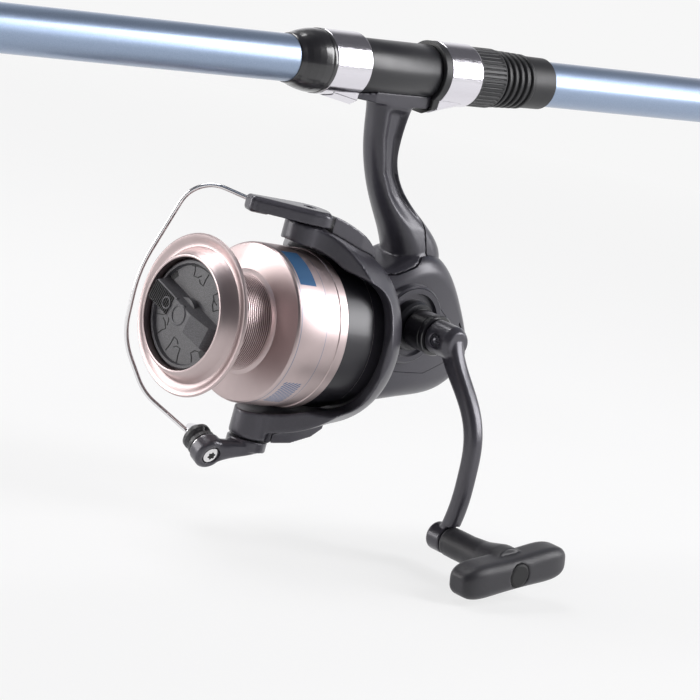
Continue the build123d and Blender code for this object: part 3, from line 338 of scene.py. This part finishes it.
# grey frame round a satin black cup with a light ring at its rear
def makeRotorPaint():
    look = rotorLook
    material, tree, shader, place = startMaterial("rotorPaint", {"Coat Roughness": 0.24})
    reelAt = useGroup(tree, reelCoordinates, {"Vector": place})
    grain = useGroup(tree, mouldGrain, {"Vector": place, "Scale": look["grain"]})
    cup = doMath(tree, "MULTIPLY", doMath(tree, "LESS_THAN", reelAt["Radius"], look["cupRadius"]),
                 doMath(tree, "GREATER_THAN", reelAt["Along"], look["cupRear"]))
    ring = doMath(tree, "MULTIPLY", cup, between(tree, reelAt["Along"], *look["ringAlong"], 0.05))
    base = mixColour(tree, doMath(tree, "MULTIPLY", grain["Fleck"], 0.3), look["frame"], look["fleck"])
    for mask, colour in ((cup, "cup"), (ring, "ring")):
        base = mixColour(tree, mask, base, look[colour])
    feed(tree, shader.inputs["Base Color"], base)
    rough = doMath(tree, "MULTIPLY_ADD", grain["Cloud"], 0.08, 0.33)
    for label, change, start in (("Metallic", -0.2, 0.35), ("Coat Weight", -0.1, 0.4),
                                 ("Roughness", 0.03, rough)):
        feed(tree, shader.inputs[label], doMath(tree, "MULTIPLY_ADD", cup, change, start))
    addBump(tree, shader, grain["Height"], 0.06, 0.0001)
    return material


rollerLook = {"colour": (0.012, 0.012, 0.014, 1), "ridge": (0.05, 0.05, 0.055, 1), "pitch": 0.00075}


def makeKnurl():
    material, tree, shader, place = startMaterial("rollerKnurl", {"Coat Weight": 0.2})
    weave = cells(tree, place, 1.0 / rollerLook["pitch"], distance="CHEBYCHEV")["Distance"]
    feed(tree, shader.inputs["Base Color"], mixColour(tree, weave, rollerLook["ridge"], rollerLook["colour"]))
    feed(tree, shader.inputs["Roughness"], doMath(tree, "MULTIPLY_ADD", weave, 0.2, 0.32))
    addBump(tree, shader, weave, 0.8, 0.00025)
    return material


finishes["blankLacquer"] = makeBlankLacquer()
finishes["champagneSpool"] = makeSpoolFinish()
finishes["rotorPaint"] = makeRotorPaint()
finishes["rollerKnurl"] = makeKnurl()
print("finishes made:", len(finishes))

slotFinish = {"blank_blue": "blankLacquer", "gloss_black": "pianoBlack", "satin_black": "barrelBlack",
              "rubber_black": "buttRubber", "hood_silver": "hoodSilver", "body_grey": "gearboxGrey",
              "rotor_grey": "armGrey", "arm_grey": "armGrey", "spool_rose": "champagneSpool",
              "knob_grey": "dialGrey", "steel": "groundSteel", "bright": "brightWire", "brass": "gearBrass",
              "zinc": "gearZinc", "felt": "felt", "ceramic": "ringCeramic"}
nodeFinish = {"rotor": "rotorPaint", "line_roller": "rollerKnurl", "lock_nut": "nutBlack",
              "t_knob": "gripBlack", "knob_cap": "dialDark",
              "front_wrap": "wrapThread", "hood_liner": "nutBlack"}
nodeSlot = {part["node"]: part["material_slot"] for part in frame["record"]["subparts"]}
for node, piece in frame["nodes"].items():
    piece.data.materials.clear()
    piece.data.materials.append(finishes[nodeFinish.get(node, slotFinish[nodeSlot[node]])])

# pieces

sharpAngle = math.radians(24.0)


def addPiece(name, mesh, body, finish, smooth=True):
    piece = bpy.data.objects.new(name, mesh)
    bpy.context.scene.collection.objects.link(piece)
    mesh.materials.clear()
    mesh.materials.append(finishes[finish])
    for face in mesh.polygons:
        face.use_smooth = smooth
    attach(piece, body)
    return piece


# one mesh from a function that fills a bmesh in millimetres
def meshFrom(name, build, space):
    form = bmesh.new()
    build(form)
    bmesh.ops.transform(form, matrix=space, verts=form.verts)
    bmesh.ops.recalc_face_normals(form, faces=form.faces)
    mesh = bpy.data.meshes.new(name)
    form.to_mesh(mesh)
    form.free()
    return mesh


# solid turned about X from (along, radius) pairs in mm; wave gives a change of radius at (along, angle)
def lathe(form, profile, steps, wave=None):
    rings = []
    for i in range(steps):
        angle = 2 * math.pi * i / steps
        ring = []
        for along, radius in profile:
            reach = radius + (wave(along, angle) if wave else 0.0)
            ring.append(form.verts.new((along, reach * math.cos(angle), reach * math.sin(angle))))
        rings.append(ring)
    for i in range(steps):
        first, second = rings[i], rings[(i + 1) % steps]
        for k in range(len(profile)):
            form.faces.new((first[k], first[(k + 1) % len(profile)], second[(k + 1) % len(profile)], second[k]))


def addTurned(name, part):
    mesh = meshFrom(name, lambda form: lathe(form, part["profile"], part["steps"], part.get("wave")),
                    part.get("space", rodSpace))
    piece = addPiece(name, mesh, part["body"], part["finish"])
    mesh.set_sharp_from_angle(angle=sharpAngle)
    if "node" in part:
        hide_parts(part["node"])


blank = {"rear": -430.0, "front": 450.0, "radius": 10.75, "taper": 0.0009, "at": 75.7, "wall": 1.1}


def blankRadius(along):
    return blank["radius"] - blank["taper"] * (along - blank["at"])


# small radius on the corner between two profile points
def easedProfile(points, ease):
    eased = []
    for i, point in enumerate(points):
        before, after = Vector(points[i - 1]), Vector(points[(i + 1) % len(points)])
        corner = Vector(point)
        first, second = before - corner, after - corner
        cut = min(ease, first.length * 0.35, second.length * 0.35)
        start, end = corner + first.normalized() * cut, corner + second.normalized() * cut
        eased += [tuple(start), tuple((start + end + corner * 2) / 4), tuple(end)]
    return eased


nutLook = {"flutes": 40, "fluteDepth": 0.55, "fluteFrom": -51.0, "fluteTo": -36.4, "fluteFade": 0.8,
           "fluteComb": 0.6, "gripFront": -36.2, "gripStep": 0.6, "gripRows": 26, "gripRadius": 14.1,
           "ribs": 5, "ribFront": -52.0, "ribRun": 20.5, "crest": 13.6, "crestFall": 0.13,
           "rib": ((0.12, 1.1), (0.38, 1.15), (0.46, 0.25), (0.56, 0.0), (0.82, 0.0), (0.94, 0.3))}


def share(value, low, high):
    return min(max((value - low) / (high - low), 0.0), 1.0)


def smoothStep(value, low, high):
    part = share(value, low, high)
    return part * part * (3 - 2 * part)


def nutWave(along, angle):
    rear, front, fade = nutLook["fluteFrom"], nutLook["fluteTo"], nutLook["fluteFade"]
    inside = share(along, rear, rear + fade) * share(along, front, front - fade)
    comb = max(0.0, math.cos(angle * nutLook["flutes"])) ** nutLook["fluteComb"]
    return -nutLook["fluteDepth"] * inside * comb


def nutProfile():
    points = [(-35.3, 12.05), (-35.3, 13.7), (-35.7, 14.1)]
    points += [(nutLook["gripFront"] - nutLook["gripStep"] * i, nutLook["gripRadius"])
               for i in range(nutLook["gripRows"])]
    points += [(-52.0, 13.9), (-52.3, 13.3)]
    pitch = nutLook["ribRun"] / nutLook["ribs"]
    for i in range(nutLook["ribs"]):
        crest, along = nutLook["crest"] - nutLook["crestFall"] * i, nutLook["ribFront"] - pitch * i
        points += [(along - pitch * run, crest - drop) for run, drop in nutLook["rib"]]
    return points + [(-72.7, 12.5), (-86.9, 12.35), (-87.4, 11.8), (-87.5, 11.3), (-74.2, 11.25),
                     (-74.2, 12.05)]


arborGrooves = {"count": 19, "front": 72.2, "pitch": 1.16, "top": 22.5, "bottom": 22.05}


def spoolProfile():
    points = [(37.0, 36.1), (37.0, 36.9), (37.5, 37.3), (42.0, 37.3), (42.3, 36.95), (49.6, 36.95),
              (49.9, 37.3), (66.6, 37.3), (67.4, 37.05), (68.0, 36.4), (68.6, 34.0), (70.2, 24.4),
              (70.9, 23.5), (71.4, 22.5)]
    top, bottom = arborGrooves["top"], arborGrooves["bottom"]
    for i in range(arborGrooves["count"]):
        along = arborGrooves["front"] + arborGrooves["pitch"] * i
        points += [(along, top), (along + 0.22, bottom), (along + 0.55, bottom), (along + 0.77, top)]
    points += [(94.9, 22.5), (95.6, 22.9), (96.1, 23.9), (97.2, 30.0), (98.1, 35.9), (99.0, 37.0),
               (99.7, 37.3), (100.3, 37.1), (100.7, 36.5), (100.6, 35.6), (100.2, 34.7), (99.5, 33.6),
               (99.1, 32.3), (99.2, 31.3), (99.9, 30.6), (101.3, 29.7), (103.4, 28.8), (104.9, 28.0),
               (105.9, 27.4), (106.4, 26.8), (106.5, 26.3), (106.3, 25.8)]
    return points + [(97.6, 25.8), (97.6, 19.0), (81.0, 19.0), (81.0, 3.55), (64.0, 3.55), (64.0, 8.0),
                     (78.0, 8.0), (78.0, 20.3), (71.0, 20.3), (66.8, 36.1)]


blankSection = [(blank["rear"], blankRadius(blank["rear"]) - blank["wall"]),
                (blank["front"], blankRadius(blank["front"]) - blank["wall"]),
                (blank["front"], blankRadius(blank["front"])), (blank["rear"], blankRadius(blank["rear"]))]
coneSection = [(57.0, 10.8), (57.0, 14.85), (59.0, 14.85), (59.15, 14.6), (60.4, 14.6), (63.5, 14.35),
               (66.7, 13.75), (70.2, 12.8), (72.8, 11.8), (75.3, 11.3), (75.7, 11.0), (75.7, 10.8)]
barrelSection = [(57.0, 10.85), (57.0, 12.8), (-10.6, 12.8), (-10.6, 12.0), (-73.0, 12.0), (-73.0, 10.92)]
turnedParts = {
    "blankTube": {"node": "butt_section", "body": "rod_and_body", "slot": "blank_blue",
                  "finish": "blankLacquer", "profile": blankSection, "steps": 180},
    "seatCone": {"node": "front_cone", "body": "rod_and_body", "slot": "gloss_black",
                 "finish": "pianoBlack", "profile": easedProfile(coneSection, 0.2), "steps": 180},
    "seatTube": {"node": "seat_barrel", "body": "rod_and_body", "slot": "satin_black",
                 "finish": "barrelBlack", "profile": easedProfile(barrelSection, 0.3), "steps": 180},
    "nutRing": {"node": "lock_nut", "body": "hood_nut", "slot": "satin_black", "finish": "nutBlack",
                "profile": nutProfile(), "wave": nutWave, "steps": 480},
    "spoolShell": {"node": "spool", "body": "spool_assembly", "slot": "spool_rose",
                   "finish": "champagneSpool", "profile": spoolProfile(), "steps": 240, "space": reelSpace},
}
for name, part in turnedParts.items():
    addTurned(name, part)
print("turned pieces made:", len(turnedParts))

castings = {
    "crankCasting": {"node": "crank_arm", "body": "crank", "slot": "arm_grey", "finish": "armGrey",
                     "voxel": 0.42, "rounds": 14},
    "tGrip": {"node": "t_knob", "body": "knob", "slot": "rubber_black", "finish": "gripBlack",
              "voxel": 0.50, "rounds": 12},
    "bailLeverCasting": {"node": "bail_lever", "body": "bail", "slot": "rotor_grey", "finish": "armGrey",
                         "voxel": 0.38, "rounds": 8},
    "rollerArmCasting": {"node": "roller_arm", "body": "bail", "slot": "arm_grey", "finish": "armGrey",
                         "voxel": 0.38, "rounds": 10},
    "springCoverCasting": {"node": "spring_cover", "body": "rotor_assembly", "slot": "rotor_grey",
                           "finish": "armGrey", "voxel": 0.40, "rounds": 8},
    "armCoverCasting": {"node": "arm_cover", "body": "rotor_assembly", "slot": "rotor_grey",
                        "finish": "armGrey", "voxel": 0.40, "rounds": 8},
    "rotorCasting": {"node": "rotor", "body": "rotor_assembly", "slot": "rotor_grey", "finish": "rotorPaint",
                     "voxel": 0.62, "rounds": 6},
    "fixedHoodShell": {"node": "fixed_hood", "body": "rod_and_body", "slot": "hood_silver",
                       "finish": "hoodSilver", "voxel": 0.34, "rounds": 3, "round": 14.9},
    "movingHoodShell": {"node": "moving_hood", "body": "sliding_hood", "slot": "hood_silver",
                        "finish": "hoodSilver", "voxel": 0.34, "rounds": 3, "round": 14.9},
    "hoodLinerShell": {"node": "hood_liner", "body": "sliding_hood", "slot": "satin_black",
                       "finish": "nutBlack", "voxel": 0.34, "rounds": 3, "round": 14.8},
    "bodyCasting": {"node": "reel_body", "body": "rod_and_body", "slot": "body_grey", "finish": "gearboxGrey",
                    "voxel": 0.62, "rounds": 5, "channel": True},
}

# the stem's rear and front edge by height, and the scoop in its crank side
stem = {"rows": [(42.0, -37.5, -9.0), (54.0, -30.5, -1.0), (63.0, -17.5, 6.5), (71.0, -6.5, 12.4),
                 (80.0, 1.2, 17.7), (96.0, 5.2, 23.8), (108.0, 4.4, 26.6), (115.5, 2.0, 30.0)],
        "channelFrom": 56.0, "channelTo": 111.0, "channelDepth": 3.4, "side": (1.0, 4.0),
        "rearEdge": (0.13, 0.26), "frontEdge": (0.50, 0.85), "lowEnd": 70.0, "highEnd": 107.0}


# long scoop along the crank side of the stem, in front of a raised rib at its rear edge
def scoopStem(mesh):
    inward = reelSpace.inverted()
    for vertex in mesh.vertices:
        along, side, height = inward @ vertex.co
        if side < stem["side"][0] or not stem["channelFrom"] < height < stem["channelTo"]:
            continue
        for low, high in zip(stem["rows"], stem["rows"][1:]):
            if low[0] <= height <= high[0]:
                rise = (height - low[0]) / (high[0] - low[0])
                rear, front = (low[k] + (high[k] - low[k]) * rise for k in (1, 2))
        across = (along - rear) / (front - rear)
        mask = smoothStep(across, *stem["rearEdge"]) * (1 - smoothStep(across, *stem["frontEdge"]))
        mask *= smoothStep(side, *stem["side"]) * smoothStep(height, stem["channelFrom"], stem["lowEnd"])
        mask *= 1 - smoothStep(height, stem["highEnd"], stem["channelTo"])
        vertex.co = reelSpace @ Vector((along, side - stem["channelDepth"] * mask, height))


roundReach = 0.30    # how far from a round face, in mm, a softened vertex still belongs to it


# brings what lies close to a circle about the rod onto it
def trueRound(mesh, radius):
    for vertex in mesh.vertices:
        reach = math.hypot(vertex.co.y, vertex.co.z)
        if abs(reach - radius * millimetre) < roundReach * millimetre:
            vertex.co.y *= radius * millimetre / reach
            vertex.co.z *= radius * millimetre / reach


# the node's form with softly rounded edges, as a casting or moulding has
def castCopy(name, node, voxel, rounds):
    source = frame["nodes"][node]
    worker = bpy.data.objects.new(name + "Form", source.data.copy())
    bpy.context.scene.collection.objects.link(worker)
    remesh = worker.modifiers.new("remesh", "REMESH")
    remesh.mode = "VOXEL"
    remesh.voxel_size = voxel * millimetre
    soften = worker.modifiers.new("soften", "SMOOTH")
    soften.factor = 0.5
    soften.iterations = rounds
    depsgraph = bpy.context.evaluated_depsgraph_get()
    mesh = bpy.data.meshes.new_from_object(worker.evaluated_get(depsgraph))
    bpy.data.objects.remove(worker)
    mesh.name = name
    return mesh


for name, cast in castings.items():
    mesh = castCopy(name, cast["node"], cast["voxel"], cast["rounds"])
    if "round" in cast:
        trueRound(mesh, cast["round"])
    if "channel" in cast:
        scoopStem(mesh)
    piece = addPiece(name, mesh, cast["body"], cast["finish"])
    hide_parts(cast["node"])
print("castings made:", len(castings))

dial = {"barAngle": -17.0, "floor": 101.6, "barTop": 108.8, "sunk": 0.2}    # the drag knob's own faces
dialSpace = reelSpace @ Matrix.Rotation(math.radians(dial["barAngle"]), 4, "X")


def polar(radius, angle):
    return radius * math.cos(math.radians(angle)), radius * math.sin(math.radians(angle))


# closed skin over rows of (x, y, z) points
def loft(form, rows):
    rings = [[form.verts.new(point) for point in row] for row in rows]
    count = len(rings[0])
    for first, second in zip(rings, rings[1:]):
        for k in range(count):
            form.faces.new((first[k], first[(k + 1) % count], second[(k + 1) % count], second[k]))
    form.faces.new(rings[0])
    form.faces.new(reversed(rings[-1]))


# flat strip along points (y, z) in a plane across the axis, from x = low to high
def addBar(form, points, half, low, high):
    rows = []
    for index, (y, z) in enumerate(points):
        before, after = points[max(index - 1, 0)], points[min(index + 1, len(points) - 1)]
        run = Vector((after[0] - before[0], after[1] - before[1])).normalized()
        side = Vector((-run.y, run.x)) * half
        rows.append([(x, y + side.x * way, z + side.y * way)
                     for x, way in ((low, 1), (high, 0.7), (high, -0.7), (low, -1))])
    loft(form, rows)


# painted shade of the cut marks on the floor: thin dark strips, as (angle, outer radius, inner radius, turn of
# the end in degrees)
hookShade = {"width": 0.55, "height": 0.22,
         "marks": [(38, 22.0, 16.5, 9), (62, 22.5, 18.0, -8), (90, 21.5, 15.5, 7), (118, 22.5, 17.5, -8),
                   (212, 22.0, 14.0, 10), (236, 22.5, 16.5, -9), (262, 21.5, 13.5, 9), (288, 22.5, 16.0, -8),
                   (314, 22.0, 17.5, 8)]}


def buildHookShade(form):
    for angle, outer, inner, turn in hookShade["marks"]:
        points = [polar(outer, angle), polar((outer + inner) / 2, angle + turn * 0.15), polar(inner, angle),
                  polar(inner - 0.2, angle + turn * 1.2), polar(inner + 1.2, angle + turn * 2.0)]
        addBar(form, points, hookShade["width"] / 2, dial["floor"] - dial["sunk"], dial["floor"] + hookShade["height"])


# painted shade of the pockets: shallow dark arcs on the floor as (start, end, radius, half width)
pocketShade = {"height": 0.12, "steps": 12,
           "arcs": [(56, 124, 22.6, 0.9), (150, 174, 21.0, 1.6), (196, 206, 19.5, 2.6), (330, 350, 20.5, 2.0)]}


def buildPocketShade(form):
    for start, end, radius, half in pocketShade["arcs"]:
        angles = [start + (end - start) * i / pocketShade["steps"] for i in range(pocketShade["steps"] + 1)]
        points = [polar(radius, angle) for angle in angles]
        addBar(form, points, half, dial["floor"] - dial["sunk"], dial["floor"] + pocketShade["height"])


# grip ribs across the bar
ribs = {"count": 13, "from": -20.6, "pitch": 1.2, "length": 9.0, "half": 0.36, "height": 0.45}


def buildRibs(form):
    reach = ribs["length"] / 2
    for i in range(ribs["count"]):
        y = ribs["from"] + ribs["pitch"] * i
        addBar(form, [(y, -reach), (y, reach)], ribs["half"], dial["barTop"] - dial["sunk"],
               dial["barTop"] + ribs["height"])


# raised pad on the left half of the bar that the ribs stand on, as (along, growth) rows
pad = {"rows": [(dial["floor"] + 1.0, 0.9), (dial["barTop"] - 0.4, 0.1), (dial["barTop"], -0.3)],
       "left": -20.6, "right": -4.4, "half": 4.9, "chamfer": (0.8, 1.0)}


def buildPad(form):
    left, right, half, (run, drop) = pad["left"], pad["right"], pad["half"], pad["chamfer"]
    loft(form, [[(along, y, z) for y, z in
                 ((left - run - grow, drop - half), (left - grow, -half - grow), (right, -half - grow),
                  (right, half + grow), (left - grow, half + grow), (left - run - grow, half - drop))]
                for along, grow in pad["rows"]])


# rings that stand on the bar, as (height over the bar, radius)
mark = {"profile": [(-0.3, 2.3), (0.7, 2.3), (0.7, 2.9), (-0.3, 3.0)], "steps": 40, "across": -8.5}
hub = {"profile": [(-1.5, 3.9), (0.25, 3.9), (0.45, 4.3), (0.25, 4.9), (-1.5, 5.1)], "steps": 48, "across": 1.5}


def addDialPiece(name, build, finish, space=dialSpace, smooth=False):
    addPiece(name, meshFrom(name, build, space), "drag_knob_assembly", finish, smooth)


def addDialRing(name, ring):
    profile = [(dial["barTop"] + height, radius) for height, radius in ring["profile"]]
    addDialPiece(name, lambda form: lathe(form, profile, ring["steps"]), "dialGrey",
                 dialSpace @ Matrix.Translation((0, ring["across"], 0)), True)


# dark strips that paint the shade of the cut marks
addDialPiece("dialHookShade", buildHookShade, "dialDark")
# dark arcs that paint the shade of the pockets
addDialPiece("dialPocketShade", buildPocketShade, "dialDark")
addDialPiece("dialRibs", buildRibs, "dialDark")
addDialPiece("dialPad", buildPad, "dialGrey")
addDialRing("dialMark", mark)
addDialRing("dialHub", hub)
print("drag dial dressed")

# line roller's screw and ring, with a dark hexagon as painted shade of the screw's socket, X along the roller's
# axle
roller = {"at": (67.0, -9.5, -60.2), "lean": 69.0, "turn": -90.0}
rollerSpace = (reelSpace @ Matrix.Translation(roller["at"])
               @ Matrix.Rotation(math.radians(roller["lean"]), 4, "X")
               @ Matrix.Rotation(math.radians(roller["turn"]), 4, "Y"))
screwHead = {"node": "roller_screw", "body": "bail", "slot": "bright", "finish": "brightWire",
             "profile": [(-11.7, 0.05), (-11.75, 1.2), (-11.65, 3.0), (-11.3, 3.9), (-10.7, 4.2), (-10.1, 4.2),
                         (-10.1, 0.05)], "steps": 64, "space": rollerSpace}
# painted shade: a dark hexagon just in front of the screw head stands for the shade in its socket
screwSocketShade = {"body": "bail", "slot": "bright", "finish": "dialDark",
               "profile": [(-11.85, 0.05), (-11.85, 1.75), (-11.4, 1.75), (-11.4, 0.05)],
               "steps": 72, "space": rollerSpace, "wave": lambda along, angle: 0.32 * math.cos(6 * angle)}
rollerRing = {"body": "bail", "slot": "bright", "finish": "brightWire", "space": rollerSpace, "steps": 96,
              "profile": [(-4.55, 5.0), (-4.55, 6.5), (-4.3, 6.8), (-4.0, 6.8), (-3.85, 6.5), (-3.85, 5.0)]}
addTurned("screwHead", screwHead)
addTurned("screwSocketShade", screwSocketShade)

# rear half of the shoulder under the lower arm's tip, as (radius, height) round an upright axis
shoulder = {"from": 112.0, "to": 248.0, "steps": 36, "at": (47.0, 0, 0),
            "section": [(9.0, -46.5), (11.6, -46.5), (11.6, -52.6), (10.6, -53.6), (9.0, -53.6)]}


def buildShoulder(form):
    sweep = shoulder["to"] - shoulder["from"]
    angles = [shoulder["from"] + sweep * i / shoulder["steps"] for i in range(shoulder["steps"] + 1)]
    loft(form, [[(*polar(radius, angle), height) for radius, height in shoulder["section"]]
                for angle in angles])


addPiece("tipShoulder", meshFrom("tipShoulder", buildShoulder, reelSpace @ Matrix.Translation(shoulder["at"])),
         "rotor_assembly", "armGrey", False)
addTurned("rollerRing", rollerRing)
print("roller and shoulder made")

# room, light and camera

floorLook = {"low": 3.0, "half": 7.0, "colour": (0.90, 0.90, 0.905, 1), "glow": (0.93, 0.93, 0.93, 1),
             "mottle": (0.8, 0.8, 0.8, 1), "nearShare": 0.80, "fade": (0.5, 1.5)}


# paper that shows its glow to the camera and takes the object's shadow near it
def makeFloor():
    material, tree, shader, place = startMaterial("studioPaper", {"Roughness": 0.9})
    mottle = doMath(tree, "MULTIPLY", noise(tree, place, 40.0, 2.0), 0.03)
    feed(tree, shader.inputs["Base Color"], mixColour(tree, mottle, floorLook["colour"], floorLook["mottle"]))
    glow = addNode(tree, "ShaderNodeEmission", {"Color": floorLook["glow"], "Strength": 1.0})
    rays = addNode(tree, "ShaderNodeLightPath").outputs
    seen = doMath(tree, "MAXIMUM", rays["Is Camera Ray"], doMath(tree, "MAXIMUM", rays["Is Glossy Ray"],
                                                                 rays["Is Transmission Ray"]))
    away = addNode(tree, "ShaderNodeVectorMath", {0: place}, operation="LENGTH").outputs["Value"]
    fade = mapRange(tree, away, floorLook["fade"], (floorLook["nearShare"], 1.0))
    share = doMath(tree, "MULTIPLY", seen, fade)
    both = addNode(tree, "ShaderNodeMixShader", {0: share, 1: shader.outputs[0], 2: glow.outputs[0]})
    feed(tree, tree.nodes["Material Output"].inputs["Surface"], both.outputs[0])
    mesh = bpy.data.meshes.new("studioFloor")
    half, level = floorLook["half"], cadLow.z - floorLook["low"] * millimetre
    corners = [(-half, -half, level), (half, -half, level), (half, half, level), (-half, half, level)]
    mesh.from_pydata(corners, [], [(0, 1, 2, 3)])
    mesh.materials.append(material)
    floor = bpy.data.objects.new("studioFloor", mesh)
    bpy.context.scene.collection.objects.link(floor)


makeFloor()

cameraSet = {"azimuth": 136.2275, "elevation": 11.7525, "roll": 12.2461, "distance": 1.50136,
             "target": (-0.0017352, 0.0, -0.1358568), "lens": 163.06, "sensor": 36.0, "clip": 60.0}


def cameraAxes():
    azimuth, elevation = math.radians(cameraSet["azimuth"]), math.radians(cameraSet["elevation"])
    roll = math.radians(cameraSet["roll"])
    level = Vector((math.cos(azimuth), math.sin(azimuth), 0))
    ahead = Vector((-math.sin(azimuth) * math.cos(elevation), math.cos(azimuth) * math.cos(elevation),
                    -math.sin(elevation)))
    up = level.cross(ahead)
    return (level * math.cos(roll) + up * math.sin(roll), -level * math.sin(roll) + up * math.cos(roll), -ahead)


right, upward, back = cameraAxes()
target = Vector(cameraSet["target"])
camera = bpy.data.objects.new("camera", bpy.data.cameras.new("camera"))
camera.data.lens = cameraSet["lens"]
camera.data.sensor_width = cameraSet["sensor"]
camera.data.clip_end = cameraSet["clip"]
placeAt = target + back * cameraSet["distance"]
camera.matrix_world = Matrix([(right[i], upward[i], back[i], placeAt[i]) for i in range(3)] + [(0, 0, 0, 1)])
bpy.context.scene.collection.objects.link(camera)
bpy.context.scene.camera = camera

lamps = {
    "rightBox": {"at": (1.50, 0.42, 0.12), "size": (0.50, 1.20), "watts": 21.0, "colour": (0.99, 0.985, 1.0)},
    "leftBox": {"at": (-1.45, 0.55, 0.20), "size": (0.80, 1.20), "watts": 17.0, "colour": (1.0, 0.985, 0.975)},
    "topBox": {"at": (-0.25, 1.45, -0.10), "size": (0.9, 0.6), "watts": 13.0, "colour": (1.0, 1.0, 1.0)},
}
for name, lamp in lamps.items():
    data = bpy.data.lights.new(name, "AREA")
    data.shape = "RECTANGLE"
    data.size, data.size_y = lamp["size"]
    data.energy = lamp["watts"]
    data.color = lamp["colour"]
    light = bpy.data.objects.new(name, data)
    spot = target + right * lamp["at"][0] + upward * lamp["at"][1] + back * lamp["at"][2]
    aim = (target - spot).to_track_quat("-Z", "Y").to_matrix().to_4x4()
    light.matrix_world = Matrix.Translation(spot) @ aim
    bpy.context.scene.collection.objects.link(light)

# dim room with a white sweep low down behind the object
worldLook = {"room": (0.13, 0.13, 0.14, 1), "sweep": (0.92, 0.92, 0.94, 1), "seen": (0.93, 0.93, 0.93, 1),
             "rearEdge": (-0.1, 0.5), "topEdge": (0.60, 0.30)}
world = bpy.data.worlds.new("studio")
bpy.context.scene.world = world
world.use_nodes = True
tree = world.node_tree
tree.nodes.clear()
direction = addNode(tree, "ShaderNodeTexCoord").outputs["Generated"]
height = addNode(tree, "ShaderNodeSeparateXYZ", {0: direction}).outputs["Z"]
behind = Vector((-back.x, -back.y, 0)).normalized()
facing = addNode(tree, "ShaderNodeVectorMath", {0: direction, 1: behind},
                 operation="DOT_PRODUCT").outputs["Value"]
rear = mapRange(tree, facing, worldLook["rearEdge"])
low = mapRange(tree, height, worldLook["topEdge"])
sweep = mixColour(tree, doMath(tree, "MULTIPLY", rear, low), worldLook["room"], worldLook["sweep"])
sky = addNode(tree, "ShaderNodeBackground", {"Color": sweep, "Strength": 1.0})
plain = addNode(tree, "ShaderNodeBackground", {"Color": worldLook["seen"], "Strength": 1.0})
cameraRay = addNode(tree, "ShaderNodeLightPath").outputs["Is Camera Ray"]
both = addNode(tree, "ShaderNodeMixShader", {0: cameraRay, 1: sky.outputs[0], 2: plain.outputs[0]})
addNode(tree, "ShaderNodeOutputWorld", {"Surface": both.outputs[0]})
bpy.context.scene.view_settings.view_transform = "Standard"
print("room, lamps and camera made")
